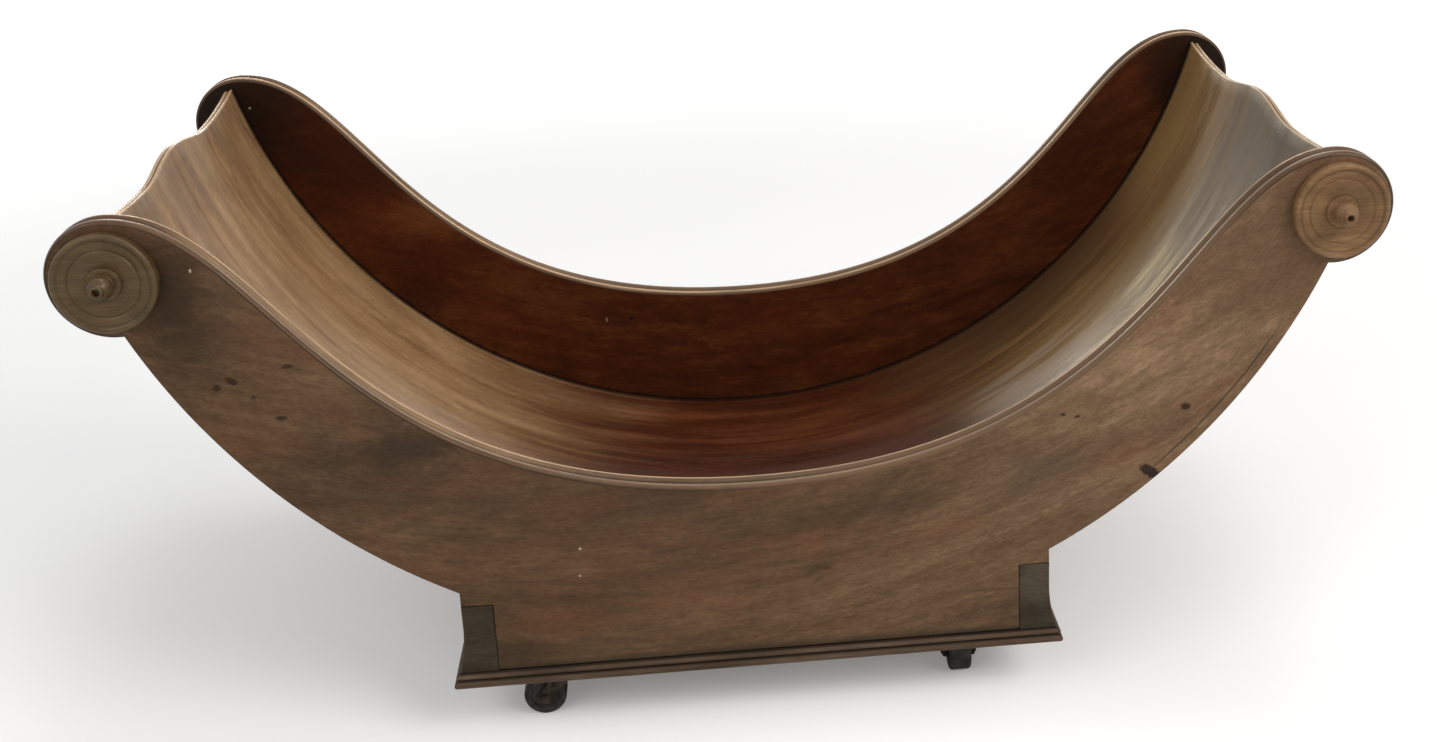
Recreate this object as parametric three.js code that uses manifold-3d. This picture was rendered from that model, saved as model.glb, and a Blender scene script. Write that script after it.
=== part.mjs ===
// Cheese coaster: a trough bent to an arc between two crescent side panels with scroll ends,
// on a hollow-ended plinth that rolls on four small castors.
// Millimetres. +X runs along the trough, +Y across it to the back, +Z up.
// The origin is on the ground under the middle of the piece.

import * as THREE from "three";
import { mergeVertices } from "three/addons/utils/BufferGeometryUtils.js";
import Module from "manifold-3d";

const wasm = await Module();
wasm.setup();

const DEGREE = Math.PI / 180;

// Side panels. Each lower edge is an arc, and the scrolls sit near its ends.
const panelThickness = 9.2;
const troughWidth = 180.4;
const lowerEdgeRadius = 218.1;
const lowerEdgeLift = 11.1;
const scrollRadius = 19.6;
const scrollAngle = 70.31;
const scrollInset = 5.26;

// The rim is one S-curve each side, from the low point in the middle to the crest of the scroll.
// Heights are above the plinth's underside.
const rimLowHeight = 70;
const rimMiddleHandle = 144;
const rimCrestHandle = 50.5;
const rimCrestAngle = 90;

// Two half-round reeds run along the rim with a narrow hollow between them.
const reedDepth = 1.3;
const reedHollow = 0.6;
const reedFadeAngle = 50;

// The trough board, and the stopped grooves that hold its edges.
const boardThickness = 4;
const panelLip = 3.6;
const boardOverrun = 4.2;
const tongueSetback = 6.55;
const tongueLength = 2.5;

// The cupid's-bow cut of the board's two ends: a peak in the middle between two dips.
const bowPeak = 1;
const bowDip = 3.3;
const bowDipPlace = 0.45;

// The plinth: moulding, base board, hollow-faced ends and glue blocks.
const mouldingHeight = 5.4;
const mouldingWidth = 5;
const mouldingProjection = 2.1;
const beadRadius = 1.15;
const beadSetBack = 0.7;
const quirkDepth = 0.9;
const plinthNeckLength = 205.2;
const plinthEndThickness = 10.7;
const plinthEndHeight = 31.4;
const plinthFlare = 2.7;
const plinthFlareHeight = 18;
const glueBlockWidth = 13;
const glueBlockHeight = 15;

// The turned roundels on the scrolls, and the blind sockets that hold their spigots.
const roundelBorder = 3.1;
const roundelRimHeight = 4.6;
const roundelRimWidth = 3;
const roundelEase = 0.5;
const roundelFaceHeight = 3.5;
const roundelBeadWidth = 2.2;
const roundelBeadHeight = 0.6;
const buttonRadius = 4.9;
const buttonCollarWidth = 1.6;
const buttonHeight = 11.5;
const buttonTipRadius = 1.5;
const tipHoleRadius = 0.6;
const tipHoleDepth = 1.6;
const spigotRadius = 4;
const socketFloor = 3;

// The castors. Each wheel trails behind its swivel pin.
const rollerRadius = 7.5;
const rollerWidth = 8;
const rollerShoulder = 1.2;
const rollerHeadroom = 0.8;
const castorTrail = 5.5;
const plateSide = 17;
const plateCornerRadius = 2.5;
const plateThickness = 1.2;
const plateInsetX = 21.1;
const plateInsetY = 1.5;
const pinRadius = 1.6;
const pinHeadRadius = 3.2;
const pinHeadThickness = 1;
const pinFootRadius = 2.5;
const pinFootThickness = 0.8;
const crownLength = 7.4;
const crownThickness = 2.2;
const armThickness = 1.4;
const armBossRadius = 2.6;
const armWaist = 1.8;
const axleRadius = 1;
const axleHeadRadius = 1.7;
const axleHeadThickness = 0.7;
const screwInset = 2.8;
const screwHeadRadius = 1.7;
const screwShankRadius = 0.9;
const screwLength = 4.8;
const screwPointLength = 1;

// Clearances: between glued or cut pieces, between turning pieces, beside the roller and round a screw.
const fitGap = 0.3;
const turningGap = 0.2;
const rollerSideGap = 0.4;
const screwGap = 0.15;

// How far a cutting shape runs past the face that it opens.
const overcut = 1;

// Facets of the curved surfaces.
const rimSteps = 20;
const lowerEdgeSteps = 10;
const boardSteps = 30;
const boardEndSteps = 3;
const roundelFacets = 24;
const rollerFacets = 20;
const smallFacets = 12;
const screwFacets = 8;

// Places worked out from the sizes above.
const innerFace = troughWidth / 2;
const outerFace = innerFace + panelThickness;
const arcCentre = new THREE.Vector2(0, lowerEdgeRadius + lowerEdgeLift);
const scrollCentre = arcPoint(lowerEdgeRadius - scrollInset, scrollAngle);
const boardOuterRadius = lowerEdgeRadius - panelLip;
const boardInnerRadius = boardOuterRadius - boardThickness;
const boardEndAngle = scrollAngle + boardOverrun;
const tongueAngle = scrollAngle - tongueSetback;
const panelFoot = mouldingHeight + fitGap;
const panelShoulder = plinthEndHeight + fitGap;
const neckHalf = plinthNeckLength / 2;
const endInnerFace = neckHalf - plinthEndThickness;
const panelNeckHalf = endInnerFace - fitGap;
const mouldingInnerX = neckHalf + plinthFlare + mouldingProjection - mouldingWidth;
const mouldingInnerY = outerFace + mouldingProjection - mouldingWidth;
const baseHalfX = mouldingInnerX - fitGap;
const baseHalfY = mouldingInnerY - fitGap;
const roundelRadius = scrollRadius - roundelBorder;
const socketDepth = panelThickness - socketFloor;
const spigotLength = socketDepth - fitGap;
const crownTop = -plateThickness - fitGap;
const crownBottom = crownTop - crownThickness;
const axleHeight = crownBottom - rollerHeadroom - rollerRadius;
const castorHeight = rollerRadius - axleHeight;
const armInner = rollerWidth / 2 + rollerSideGap;
const armOuter = armInner + armThickness;

/** The four corners of the piece, where castors and glue blocks go, and how each castor is swivelled. */
const corners = [
  { name: "front_left", sideX: -1, sideY: -1, swivel: 0 },
  { name: "front_right", sideX: 1, sideY: -1, swivel: -90 },
  { name: "rear_left", sideX: -1, sideY: 1, swivel: 0 },
  { name: "rear_right", sideX: 1, sideY: 1, swivel: 0 },
];

const castorPlaces = corners.map(({ name, sideX, sideY, swivel }) => ({
  name,
  swivel,
  x: sideX * (baseHalfX - plateInsetX - plateSide / 2),
  y: sideY * (baseHalfY - plateInsetY - plateSide / 2),
}));

/** Places of a plate's four screws, measured from its pin. */
const screwPlaces = corners.map(({ sideX, sideY }) => ({
  x: sideX * (plateSide / 2 - screwInset),
  y: sideY * (plateSide / 2 - screwInset),
}));

// Materials.

function finish(color, roughness, metalness) {
  return new THREE.MeshStandardMaterial({ color, roughness, metalness });
}

const mahoganyPanel = finish(0x6b5138, 0.45, 0);
const mahoganyTrough = finish(0x7b5231, 0.35, 0);
const mahoganyEndGrain = finish(0x41392f, 0.6, 0);
const mahoganyMoulding = finish(0x5f4b3e, 0.45, 0);
const turnedMahogany = finish(0x7a6345, 0.4, 0);
const baseWood = finish(0x6e5a42, 0.75, 0);
const agedBrass = finish(0x5c4a28, 0.5, 1);
const darkRoller = finish(0x2a2318, 0.55, 0.6);
const steelScrew = finish(0x4a4640, 0.5, 1);

// Curves in the plane of the side panels.

/** A point on a circle about the arc centre, at an angle from straight down. */
function arcPoint(radius, angle) {
  return new THREE.Vector2(
    arcCentre.x + radius * Math.sin(angle * DEGREE),
    arcCentre.y - radius * Math.cos(angle * DEGREE),
  );
}

/** Height of a circle about the arc centre, below it, at a distance from the middle. */
function arcHeight(radius, x) {
  return arcCentre.y - Math.sqrt(radius ** 2 - x ** 2);
}

/** Points on any circle, both ends included, with angles in radians from +X. */
function circlePoints(centre, radius, fromAngle, toAngle, steps) {
  return Array.from({ length: steps + 1 }, (_, i) => {
    const angle = fromAngle + ((toAngle - fromAngle) * i) / steps;
    return new THREE.Vector2(centre.x + radius * Math.cos(angle), centre.y + radius * Math.sin(angle));
  });
}

// Solids.

/** Turns a closed geometry into a solid that can be cut and joined. */
function solidFrom(geometry) {
  const bare = geometry.clone();
  bare.deleteAttribute("normal");
  bare.deleteAttribute("uv");
  const merged = mergeVertices(bare, 1e-4);
  return new wasm.Manifold(
    new wasm.Mesh({
      numProp: 3,
      vertProperties: new Float32Array(merged.attributes.position.array),
      triVerts: new Uint32Array(merged.index.array),
    }),
  );
}

/** Gives a solid back as a geometry. */
function geometryFrom(solid) {
  const { vertProperties, triVerts } = solid.getMesh();
  const geometry = new THREE.BufferGeometry();
  geometry.setAttribute("position", new THREE.BufferAttribute(vertProperties, 3));
  geometry.setIndex(new THREE.BufferAttribute(triVerts, 1));
  geometry.computeVertexNormals();
  return geometry;
}

/** Cuts every tool out of a geometry. */
function cut(geometry, tools) {
  return geometryFrom(tools.reduce((left, tool) => left.subtract(solidFrom(tool)), solidFrom(geometry)));
}

/** Joins geometries into one. */
function join(geometries) {
  const [first, ...others] = geometries.map(solidFrom);
  return geometryFrom(others.reduce((whole, other) => whole.add(other), first));
}

/** Six times the volume inside an indexed mesh: negative when its faces point in. */
function signedVolume(points, triangles) {
  let sum = 0;
  for (let i = 0; i < triangles.length; i += 3) {
    const [a, b, c] = [points[triangles[i]], points[triangles[i + 1]], points[triangles[i + 2]]];
    sum += a.dot(new THREE.Vector3().crossVectors(b, c));
  }
  return sum;
}

/** A closed skin through rings of points that match one to one, with both end rings filled. */
function loft(rings, flatten) {
  const count = rings[0].length;
  const points = rings.flat();
  const triangles = [];
  for (let ring = 0; ring < rings.length - 1; ring += 1) {
    for (let i = 0; i < count; i += 1) {
      const a = ring * count + i;
      const b = ring * count + ((i + 1) % count);
      triangles.push(a, b, b + count, a, b + count, a + count);
    }
  }
  for (const [ring, order] of [[0, -1], [rings.length - 1, 1]]) {
    const contour = rings[ring].map(flatten);
    const turn = Math.sign(THREE.ShapeUtils.area(contour)) * order;
    for (const [a, b, c] of THREE.ShapeUtils.triangulateShape(contour, [])) {
      const same = Math.sign(THREE.ShapeUtils.area([contour[a], contour[b], contour[c]])) === turn;
      triangles.push(...[a, same ? b : c, same ? c : b].map((corner) => ring * count + corner));
    }
  }
  if (signedVolume(points, triangles) < 0) {
    triangles.reverse();
  }
  const geometry = new THREE.BufferGeometry().setFromPoints(points);
  geometry.setIndex(triangles);
  geometry.computeVertexNormals();
  return geometry;
}

/** A prism of an outline in X and Z, between two places in Y. */
function prismAcross(outline, fromY, toY) {
  const ring = (y) => outline.map((point) => new THREE.Vector3(point.x, y, point.y));
  return loft([ring(fromY), ring(toY)], (point) => new THREE.Vector2(point.x, point.z));
}

/** A turned piece on the Z axis, from pairs of radius and height. */
function turned(profile, facets) {
  const points = profile.map(([radius, height]) => new THREE.Vector2(radius, height));
  return new THREE.LatheGeometry(points, facets).rotateX(Math.PI / 2);
}

/** A round bar on the Z axis between two heights. */
function bar(radius, fromZ, toZ, facets = smallFacets) {
  return new THREE.CylinderGeometry(radius, radius, toZ - fromZ, facets)
    .rotateX(Math.PI / 2)
    .translate(0, 0, (fromZ + toZ) / 2);
}

// Side panels.

/** The right half of a panel's outline, anticlockwise from the neck's foot to the rim's low point. */
function panelOutlineHalf() {
  const reach = arcCentre.distanceTo(scrollCentre);
  const cornerShare = (reach ** 2 + lowerEdgeRadius ** 2 - scrollRadius ** 2) / (2 * reach * lowerEdgeRadius);
  const corner = arcPoint(lowerEdgeRadius, scrollAngle - Math.acos(cornerShare) / DEGREE);
  const cornerAngle = Math.atan2(corner.y - arcCentre.y, corner.x);
  const neckAngle = -Math.acos(neckHalf / lowerEdgeRadius);
  const scrollStart = Math.atan2(corner.y - scrollCentre.y, corner.x - scrollCentre.x);
  const crestAngle = rimCrestAngle * DEGREE;

  const scroll = [
    ...circlePoints(scrollCentre, scrollRadius, scrollStart, 0, 6).slice(1, -1),
    ...circlePoints(scrollCentre, scrollRadius, 0, crestAngle, 8),
  ];
  const crest = scroll.at(-1);
  const rim = new THREE.CubicBezierCurve(
    crest,
    new THREE.Vector2(
      crest.x - rimCrestHandle * Math.sin(crestAngle),
      crest.y + rimCrestHandle * Math.cos(crestAngle),
    ),
    new THREE.Vector2(rimMiddleHandle, rimLowHeight),
    new THREE.Vector2(0, rimLowHeight),
  );

  const plain = [
    new THREE.Vector2(panelNeckHalf, panelFoot),
    new THREE.Vector2(panelNeckHalf, panelShoulder),
    new THREE.Vector2(neckHalf, panelShoulder),
    ...circlePoints(arcCentre, lowerEdgeRadius, neckAngle, cornerAngle, lowerEdgeSteps),
  ];
  const reedAt = (point) => {
    const angle = Math.atan2(point.y - scrollCentre.y, point.x - scrollCentre.x);
    return THREE.MathUtils.clamp((angle - scrollStart) / (reedFadeAngle * DEGREE), 0, 1);
  };
  return [
    ...plain.map((point) => ({ point, reed: 0 })),
    ...scroll.map((point) => ({ point, reed: reedAt(point) })),
    ...rim.getPoints(rimSteps).slice(1).map((point) => ({ point, reed: 1 })),
  ];
}

/** The whole outline: the right half, then the same points mirrored and taken backwards. */
function panelOutline() {
  const right = panelOutlineHalf();
  const left = right
    .slice(0, -1)
    .map(({ point, reed }) => ({ point: new THREE.Vector2(-point.x, point.y), reed }))
    .reverse();
  return [...right, ...left];
}

/** Places across the rim's thickness, with how deep the reeding lies there. */
function reedStations() {
  const radius = (panelThickness - reedHollow) / 4;
  const bead = [0, 45, 90, 135, 180].map((angle) => ({
    across: radius * (1 - Math.cos(angle * DEGREE)),
    depth: reedDepth * (1 - Math.sin(angle * DEGREE)),
  }));
  const second = 2 * radius + reedHollow;
  return [...bead, ...bead.map(({ across, depth }) => ({ across: across + second, depth }))];
}

/** A panel as it stands at the front, with its outer face towards -Y. */
function sidePanelGeometry() {
  const outline = panelOutline();
  const inward = outline.map((_, i) => {
    const before = outline.at(i - 1).point;
    const after = outline[(i + 1) % outline.length].point;
    const tangent = after.clone().sub(before).normalize();
    return new THREE.Vector2(-tangent.y, tangent.x);
  });
  const rings = reedStations().map(({ across, depth }) =>
    outline.map(({ point, reed }, i) => {
      const moved = point.clone().addScaledVector(inward[i], reed * depth);
      return new THREE.Vector3(moved.x, -outerFace + across, moved.y);
    }),
  );
  const board = loft(rings, (point) => new THREE.Vector2(point.x, point.z));

  const grooveAngle = tongueAngle + fitGap / boardInnerRadius / DEGREE;
  const groove = prismAcross(
    bandOutline(boardInnerRadius - fitGap, boardOuterRadius + fitGap, grooveAngle),
    -innerFace - tongueLength - fitGap,
    -innerFace + overcut,
  );
  const sockets = [-1, 1].map((side) =>
    bar(spigotRadius + fitGap, -overcut, socketDepth)
      .rotateX(-Math.PI / 2)
      .translate(side * scrollCentre.x, -outerFace, scrollCentre.y),
  );
  return cut(board, [groove, ...sockets]);
}

// Trough board.

/** Outline of a band between two radii, evenly stepped to its shoulders and then on to its ends. */
function bandOutline(innerRadius, outerRadius, shoulderAngle, endAngle = shoulderAngle) {
  const half = [];
  for (let i = 1; i <= boardSteps / 2; i += 1) {
    half.push((shoulderAngle * i) / (boardSteps / 2));
  }
  for (let i = 1; i <= boardEndSteps && endAngle > shoulderAngle; i += 1) {
    half.push(shoulderAngle + ((endAngle - shoulderAngle) * i) / boardEndSteps);
  }
  const angles = [...half.map((angle) => -angle).reverse(), 0, ...half];
  return [
    ...angles.map((angle) => arcPoint(outerRadius, angle)),
    ...angles.reverse().map((angle) => arcPoint(innerRadius, angle)),
  ];
}

/** How far the cupid's bow stands above the board's corners, at a share of the half width. */
function bowHeight(share) {
  if (share < bowDipPlace) {
    return (bowPeak - bowDip + (bowPeak + bowDip) * Math.cos((Math.PI * share) / bowDipPlace)) / 2;
  }
  return bowDip * (((share - bowDipPlace) / (1 - bowDipPlace)) ** 2 - 1);
}

function troughBoardGeometry() {
  const half = innerFace - fitGap;
  const toDip = [0, 0.33, 0.67, 1].map((share) => share * bowDipPlace);
  const toSide = [0.25, 0.5, 0.75, 1].map((share) => bowDipPlace + share * (1 - bowDipPlace));
  const outward = [...toDip, ...toSide];
  const across = [...outward.slice(1).map((share) => -share).reverse(), ...outward];
  const rings = across.map((share) => {
    const reach = boardEndAngle + bowHeight(Math.abs(share)) / boardInnerRadius / DEGREE;
    return bandOutline(boardInnerRadius, boardOuterRadius, tongueAngle, reach).map(
      (point) => new THREE.Vector3(point.x, share * half, point.y),
    );
  });
  const board = loft(rings, (point) => new THREE.Vector2(point.x, point.z));
  const tongue = prismAcross(
    bandOutline(boardInnerRadius, boardOuterRadius, tongueAngle),
    -innerFace - tongueLength,
    innerFace + tongueLength,
  );
  return join([board, tongue]);
}

// Plinth.

/** The right plinth end: the panels' shoulders rest on it, and the trough board between them. */
function plinthEndGeometry() {
  const flareRadius = (plinthFlare ** 2 + plinthFlareHeight ** 2) / (2 * plinthFlare);
  const flareTop = panelFoot + plinthFlareHeight;
  const sweep = Math.asin(plinthFlareHeight / flareRadius);
  const flareCentre = new THREE.Vector2(neckHalf + flareRadius, flareTop);
  const flare = circlePoints(flareCentre, flareRadius, Math.PI + sweep, Math.PI, 6);
  const outline = (top) => [new THREE.Vector2(endInnerFace, panelFoot), ...flare, ...top];
  const levelTop = [neckHalf, endInnerFace].map((x) => new THREE.Vector2(x, plinthEndHeight));
  const curvedTop = [0, 1, 2, 3].map((step) => {
    const x = neckHalf - (plinthEndThickness * step) / 3;
    return new THREE.Vector2(x, arcHeight(boardOuterRadius + fitGap, x));
  });
  return join([
    prismAcross(outline(levelTop), -outerFace, outerFace),
    prismAcross(outline(curvedTop), -innerFace + fitGap, innerFace - fitGap),
  ]);
}

/** Section of the plinth moulding, torus below and bead above: distance out from its back, and height. */
function mouldingSection() {
  const quirkHeight = mouldingHeight - 2 * beadRadius;
  const torusRadius = quirkHeight / 2;
  const torusCentre = new THREE.Vector2(mouldingWidth - torusRadius, torusRadius);
  const beadCentre = new THREE.Vector2(mouldingWidth - beadSetBack - beadRadius, mouldingHeight - beadRadius);
  return [
    new THREE.Vector2(0, 0),
    ...circlePoints(torusCentre, torusRadius, -Math.PI / 2, Math.PI / 3, 6),
    new THREE.Vector2(beadCentre.x + beadRadius - quirkDepth, quirkHeight),
    ...circlePoints(beadCentre, beadRadius, -Math.PI / 3, Math.PI / 2, 5),
    new THREE.Vector2(0, mouldingHeight),
  ];
}

/** A length of moulding along X with mitred ends, its back at Y = 0 and its face to -Y. */
function mouldingGeometry(innerHalf) {
  const ring = (side) =>
    mouldingSection().map(
      (point) => new THREE.Vector3(side * (innerHalf + point.x - fitGap / 2), -point.x, point.y),
    );
  return loft([ring(-1), ring(1)], (point) => new THREE.Vector2(point.y, point.z));
}

/** The base board, with a recess for each swivel pin's head and a pilot hole for each screw. */
function baseBoardGeometry() {
  const board = new THREE.BoxGeometry(2 * baseHalfX, 2 * baseHalfY, mouldingHeight).translate(
    0,
    0,
    mouldingHeight / 2,
  );
  const recess = bar(pinHeadRadius + fitGap, -overcut, pinHeadThickness + fitGap);
  const pilotHole = bar(
    screwShankRadius + screwGap,
    -overcut,
    screwLength - plateThickness + fitGap,
    screwFacets,
  );
  const tools = castorPlaces.flatMap(({ x, y }) => [
    recess.clone().translate(x, y, 0),
    ...screwPlaces.map((screw) => pilotHole.clone().translate(x + screw.x, y + screw.y, 0)),
  ]);
  return cut(board, tools);
}

function glueBlockGeometry() {
  return new THREE.BoxGeometry(glueBlockWidth, glueBlockWidth, glueBlockHeight).translate(
    0,
    0,
    glueBlockHeight / 2,
  );
}

// Roundels.

/** A roundel with its back on Z = 0, its spigot below and its button above. */
function roundelGeometry() {
  const edge = roundelRadius;
  const rimInside = edge - roundelRimWidth;
  const beadInside = rimInside - roundelBeadWidth;
  const face = roundelFaceHeight;
  const collar = face + roundelBeadHeight;
  const waist = (buttonRadius + buttonTipRadius) / 2;
  return turned(
    [
      [0, -spigotLength],
      [spigotRadius, -spigotLength],
      [spigotRadius, 0],
      [edge - roundelEase, 0],
      [edge, roundelEase],
      [edge, roundelRimHeight - 3 * roundelEase],
      [edge - roundelEase, roundelRimHeight - roundelEase],
      [edge - roundelRimWidth / 2, roundelRimHeight],
      [rimInside, face],
      [(rimInside + beadInside) / 2, collar],
      [beadInside, face],
      [buttonRadius + buttonCollarWidth, face],
      [buttonRadius + buttonCollarWidth / 2, collar],
      [buttonRadius, collar],
      [waist, (collar + buttonHeight) / 2],
      [buttonTipRadius, buttonHeight - 2 * roundelEase],
      [tipHoleRadius + roundelEase, buttonHeight],
      [tipHoleRadius, buttonHeight],
      [0, buttonHeight - tipHoleDepth],
    ],
    roundelFacets,
  );
}

// Castors, with Z = 0 on the base board's underside and the swivel pin on the Z axis.

function castorPlateGeometry() {
  const half = plateSide / 2;
  const turn = half - plateCornerRadius;
  const outline = new THREE.Shape();
  outline.absarc(turn, -turn, plateCornerRadius, -Math.PI / 2, 0);
  outline.absarc(turn, turn, plateCornerRadius, 0, Math.PI / 2);
  outline.absarc(-turn, turn, plateCornerRadius, Math.PI / 2, Math.PI);
  outline.absarc(-turn, -turn, plateCornerRadius, Math.PI, 1.5 * Math.PI);
  const plate = new THREE.ExtrudeGeometry(outline, {
    depth: plateThickness,
    bevelEnabled: false,
    curveSegments: 3,
  }).translate(0, 0, -plateThickness);
  const countersink = turned(
    [
      [0, -plateThickness - overcut],
      [screwHeadRadius + screwGap, -plateThickness - overcut],
      [screwHeadRadius + screwGap, -plateThickness],
      [screwShankRadius + screwGap, 0],
      [screwShankRadius + screwGap, overcut],
      [0, overcut],
    ],
    screwFacets,
  );
  return cut(plate, [
    bar(pinRadius + turningGap, -plateThickness - overcut, overcut),
    ...screwPlaces.map(({ x, y }) => countersink.clone().translate(x, y, 0)),
  ]);
}

/** The swivel pin: its head is let into the base board, and its foot is riveted under the crown. */
function swivelPinGeometry() {
  const foot = crownBottom - turningGap;
  return turned(
    [
      [0, foot - pinFootThickness],
      [pinRadius, foot - pinFootThickness],
      [pinFootRadius, foot - pinFootThickness / 2],
      [pinFootRadius, foot],
      [pinRadius, foot],
      [pinRadius, 0],
      [pinHeadRadius, 0],
      [pinHeadRadius, pinHeadThickness],
      [0, pinHeadThickness],
    ],
    smallFacets,
  );
}

/** The horn: a crown round the swivel pin, and two arms that sweep back and down to the axle. */
function castorHornGeometry() {
  const front = crownLength / 2;
  const axle = new THREE.Vector2(-castorTrail, axleHeight);
  const crown = new THREE.BoxGeometry(crownLength, 2 * armOuter, crownThickness).translate(
    0,
    0,
    (crownTop + crownBottom) / 2,
  );
  const armOutline = [
    new THREE.Vector2(front, crownTop),
    new THREE.Vector2(-front, crownTop),
    new THREE.Vector2(-front - armWaist, crownBottom),
    ...circlePoints(axle, armBossRadius, 0.94 * Math.PI, 1.75 * Math.PI, 6),
    new THREE.Vector2(-front + armWaist, (crownBottom + axleHeight) / 2),
    new THREE.Vector2(front - armWaist, crownBottom - armWaist / 2),
  ];
  const arms = [-1, 1].map((side) => prismAcross(armOutline, side * armInner, side * armOuter));
  const axleHole = bar(axleRadius + screwGap, -armOuter - overcut, armOuter + overcut)
    .rotateX(Math.PI / 2)
    .translate(axle.x, 0, axle.y);
  const pinHole = bar(pinRadius + turningGap, crownBottom - overcut, crownTop + overcut);
  return cut(join([crown, ...arms]), [axleHole, pinHole]);
}

/** The axle pin on the Z axis, with a domed head outside each arm. */
function axlePinGeometry() {
  const end = armOuter + screwGap;
  return turned(
    [
      [0, -end - axleHeadThickness],
      [axleRadius, -end - axleHeadThickness],
      [axleHeadRadius, -end],
      [axleRadius, -end],
      [axleRadius, end],
      [axleHeadRadius, end],
      [axleRadius, end + axleHeadThickness],
      [0, end + axleHeadThickness],
    ],
    smallFacets,
  );
}

/** The roller on the Z axis, made so that one of its facets lies flat on the ground when placed. */
function rollerGeometry() {
  const half = rollerWidth / 2;
  const bore = axleRadius + turningGap;
  const tread = rollerRadius / Math.cos(Math.PI / rollerFacets);
  return turned(
    [
      [bore, -half],
      [tread - rollerShoulder, -half],
      [tread, -half + rollerShoulder],
      [tread, half - rollerShoulder],
      [tread - rollerShoulder, half],
      [bore, half],
      [bore, -half],
    ],
    rollerFacets,
  ).rotateZ(Math.PI / rollerFacets);
}

/** A countersunk screw, its head flush with the plate's underside. */
function screwGeometry() {
  const point = screwLength - plateThickness;
  return turned(
    [
      [0, -plateThickness],
      [screwHeadRadius, -plateThickness],
      [screwShankRadius, 0],
      [screwShankRadius, point - screwPointLength],
      [0, point],
    ],
    screwFacets,
  );
}

// Assembly.

function piece(name, geometry, material) {
  const mesh = new THREE.Mesh(geometry, material);
  mesh.name = name;
  return mesh;
}

/** Both side panels, each with its two roundels. The rear one is the front one turned round. */
function sides() {
  const group = new THREE.Group();
  const panelGeometry = sidePanelGeometry();
  const turnedRoundel = roundelGeometry();
  for (const { name, turn, ends } of [
    { name: "front", turn: 0, ends: ["left", "right"] },
    { name: "rear", turn: Math.PI, ends: ["right", "left"] },
  ]) {
    const side = new THREE.Group();
    side.rotation.z = turn;
    side.add(piece(`side_panel_${name}`, panelGeometry, mahoganyPanel));
    ends.forEach((end, index) => {
      const roundel = piece(`roundel_${name}_${end}`, turnedRoundel, turnedMahogany);
      roundel.rotation.x = Math.PI / 2;
      roundel.position.set((2 * index - 1) * scrollCentre.x, -outerFace - fitGap, scrollCentre.y);
      side.add(roundel);
    });
    group.add(side);
  }
  return group;
}

function mouldings() {
  const group = new THREE.Group();
  const longStrip = mouldingGeometry(mouldingInnerX);
  const shortStrip = mouldingGeometry(mouldingInnerY);
  for (const { name, turn, strip, reach } of [
    { name: "front", turn: 0, strip: longStrip, reach: mouldingInnerY },
    { name: "right", turn: Math.PI / 2, strip: shortStrip, reach: mouldingInnerX },
    { name: "rear", turn: Math.PI, strip: longStrip, reach: mouldingInnerY },
    { name: "left", turn: -Math.PI / 2, strip: shortStrip, reach: mouldingInnerX },
  ]) {
    const side = new THREE.Group();
    const moulding = piece(`plinth_moulding_${name}`, strip, mahoganyMoulding);
    moulding.position.y = -reach;
    side.rotation.z = turn;
    side.add(moulding);
    group.add(side);
  }
  return group;
}

function plinth() {
  const group = new THREE.Group();
  const end = plinthEndGeometry();
  const left = piece("plinth_end_left", end, mahoganyEndGrain);
  left.rotation.z = Math.PI;
  group.add(
    mouldings(),
    left,
    piece("plinth_end_right", end, mahoganyEndGrain),
    piece("base_board", baseBoardGeometry(), baseWood),
  );

  const block = glueBlockGeometry();
  const blockX = endInnerFace - fitGap - glueBlockWidth / 2;
  const blockY = innerFace - fitGap - glueBlockWidth / 2;
  for (const { name, sideX, sideY } of corners) {
    const mesh = piece(`glue_block_${name}`, block, baseWood);
    mesh.position.set(sideX * blockX, sideY * blockY, panelFoot);
    group.add(mesh);
  }
  return group;
}

function castors() {
  const group = new THREE.Group();
  const shapes = {
    plate: castorPlateGeometry(),
    pin: swivelPinGeometry(),
    horn: castorHornGeometry(),
    axle: axlePinGeometry(),
    roller: rollerGeometry(),
    screw: screwGeometry(),
  };
  for (const { name, swivel, x, y } of castorPlaces) {
    const castor = new THREE.Group();
    castor.position.set(x, y, 0);
    const moving = new THREE.Group();
    moving.rotation.z = swivel * DEGREE;
    castor.add(
      piece(`castor_plate_${name}`, shapes.plate, agedBrass),
      piece(`swivel_pin_${name}`, shapes.pin, agedBrass),
      moving,
    );
    moving.add(piece(`castor_horn_${name}`, shapes.horn, agedBrass));
    for (const onAxle of [
      piece(`axle_pin_${name}`, shapes.axle, agedBrass),
      piece(`roller_${name}`, shapes.roller, darkRoller),
    ]) {
      onAxle.rotation.x = Math.PI / 2;
      onAxle.position.set(-castorTrail, 0, axleHeight);
      moving.add(onAxle);
    }
    screwPlaces.forEach((place, index) => {
      const screw = piece(`screw_${name}_${index + 1}`, shapes.screw, steelScrew);
      screw.position.set(place.x, place.y, 0);
      castor.add(screw);
    });
    group.add(castor);
  }
  return group;
}

/** Heights above are from the plinth's underside, so the castors' height lifts the whole piece. */
const coaster = new THREE.Group();
coaster.name = "cheese_coaster";
coaster.position.z = castorHeight;
coaster.add(sides(), piece("trough_board", troughBoardGeometry(), mahoganyTrough), plinth(), castors());

export default coaster;
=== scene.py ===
"""Looks of an old mahogany cheese coaster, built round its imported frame.

Sizes are in millimetres in the frame's own axes: +X along the trough, +Y to the rear panel, +Z up from
the ground. Meshes are made in metres.
"""

from __future__ import annotations

import logging
import math
from dataclasses import dataclass, field
from enum import Enum
from itertools import accumulate
from typing import Mapping, Optional, Sequence, Union

import bmesh
import bpy
from mathutils import Matrix, Vector


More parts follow.
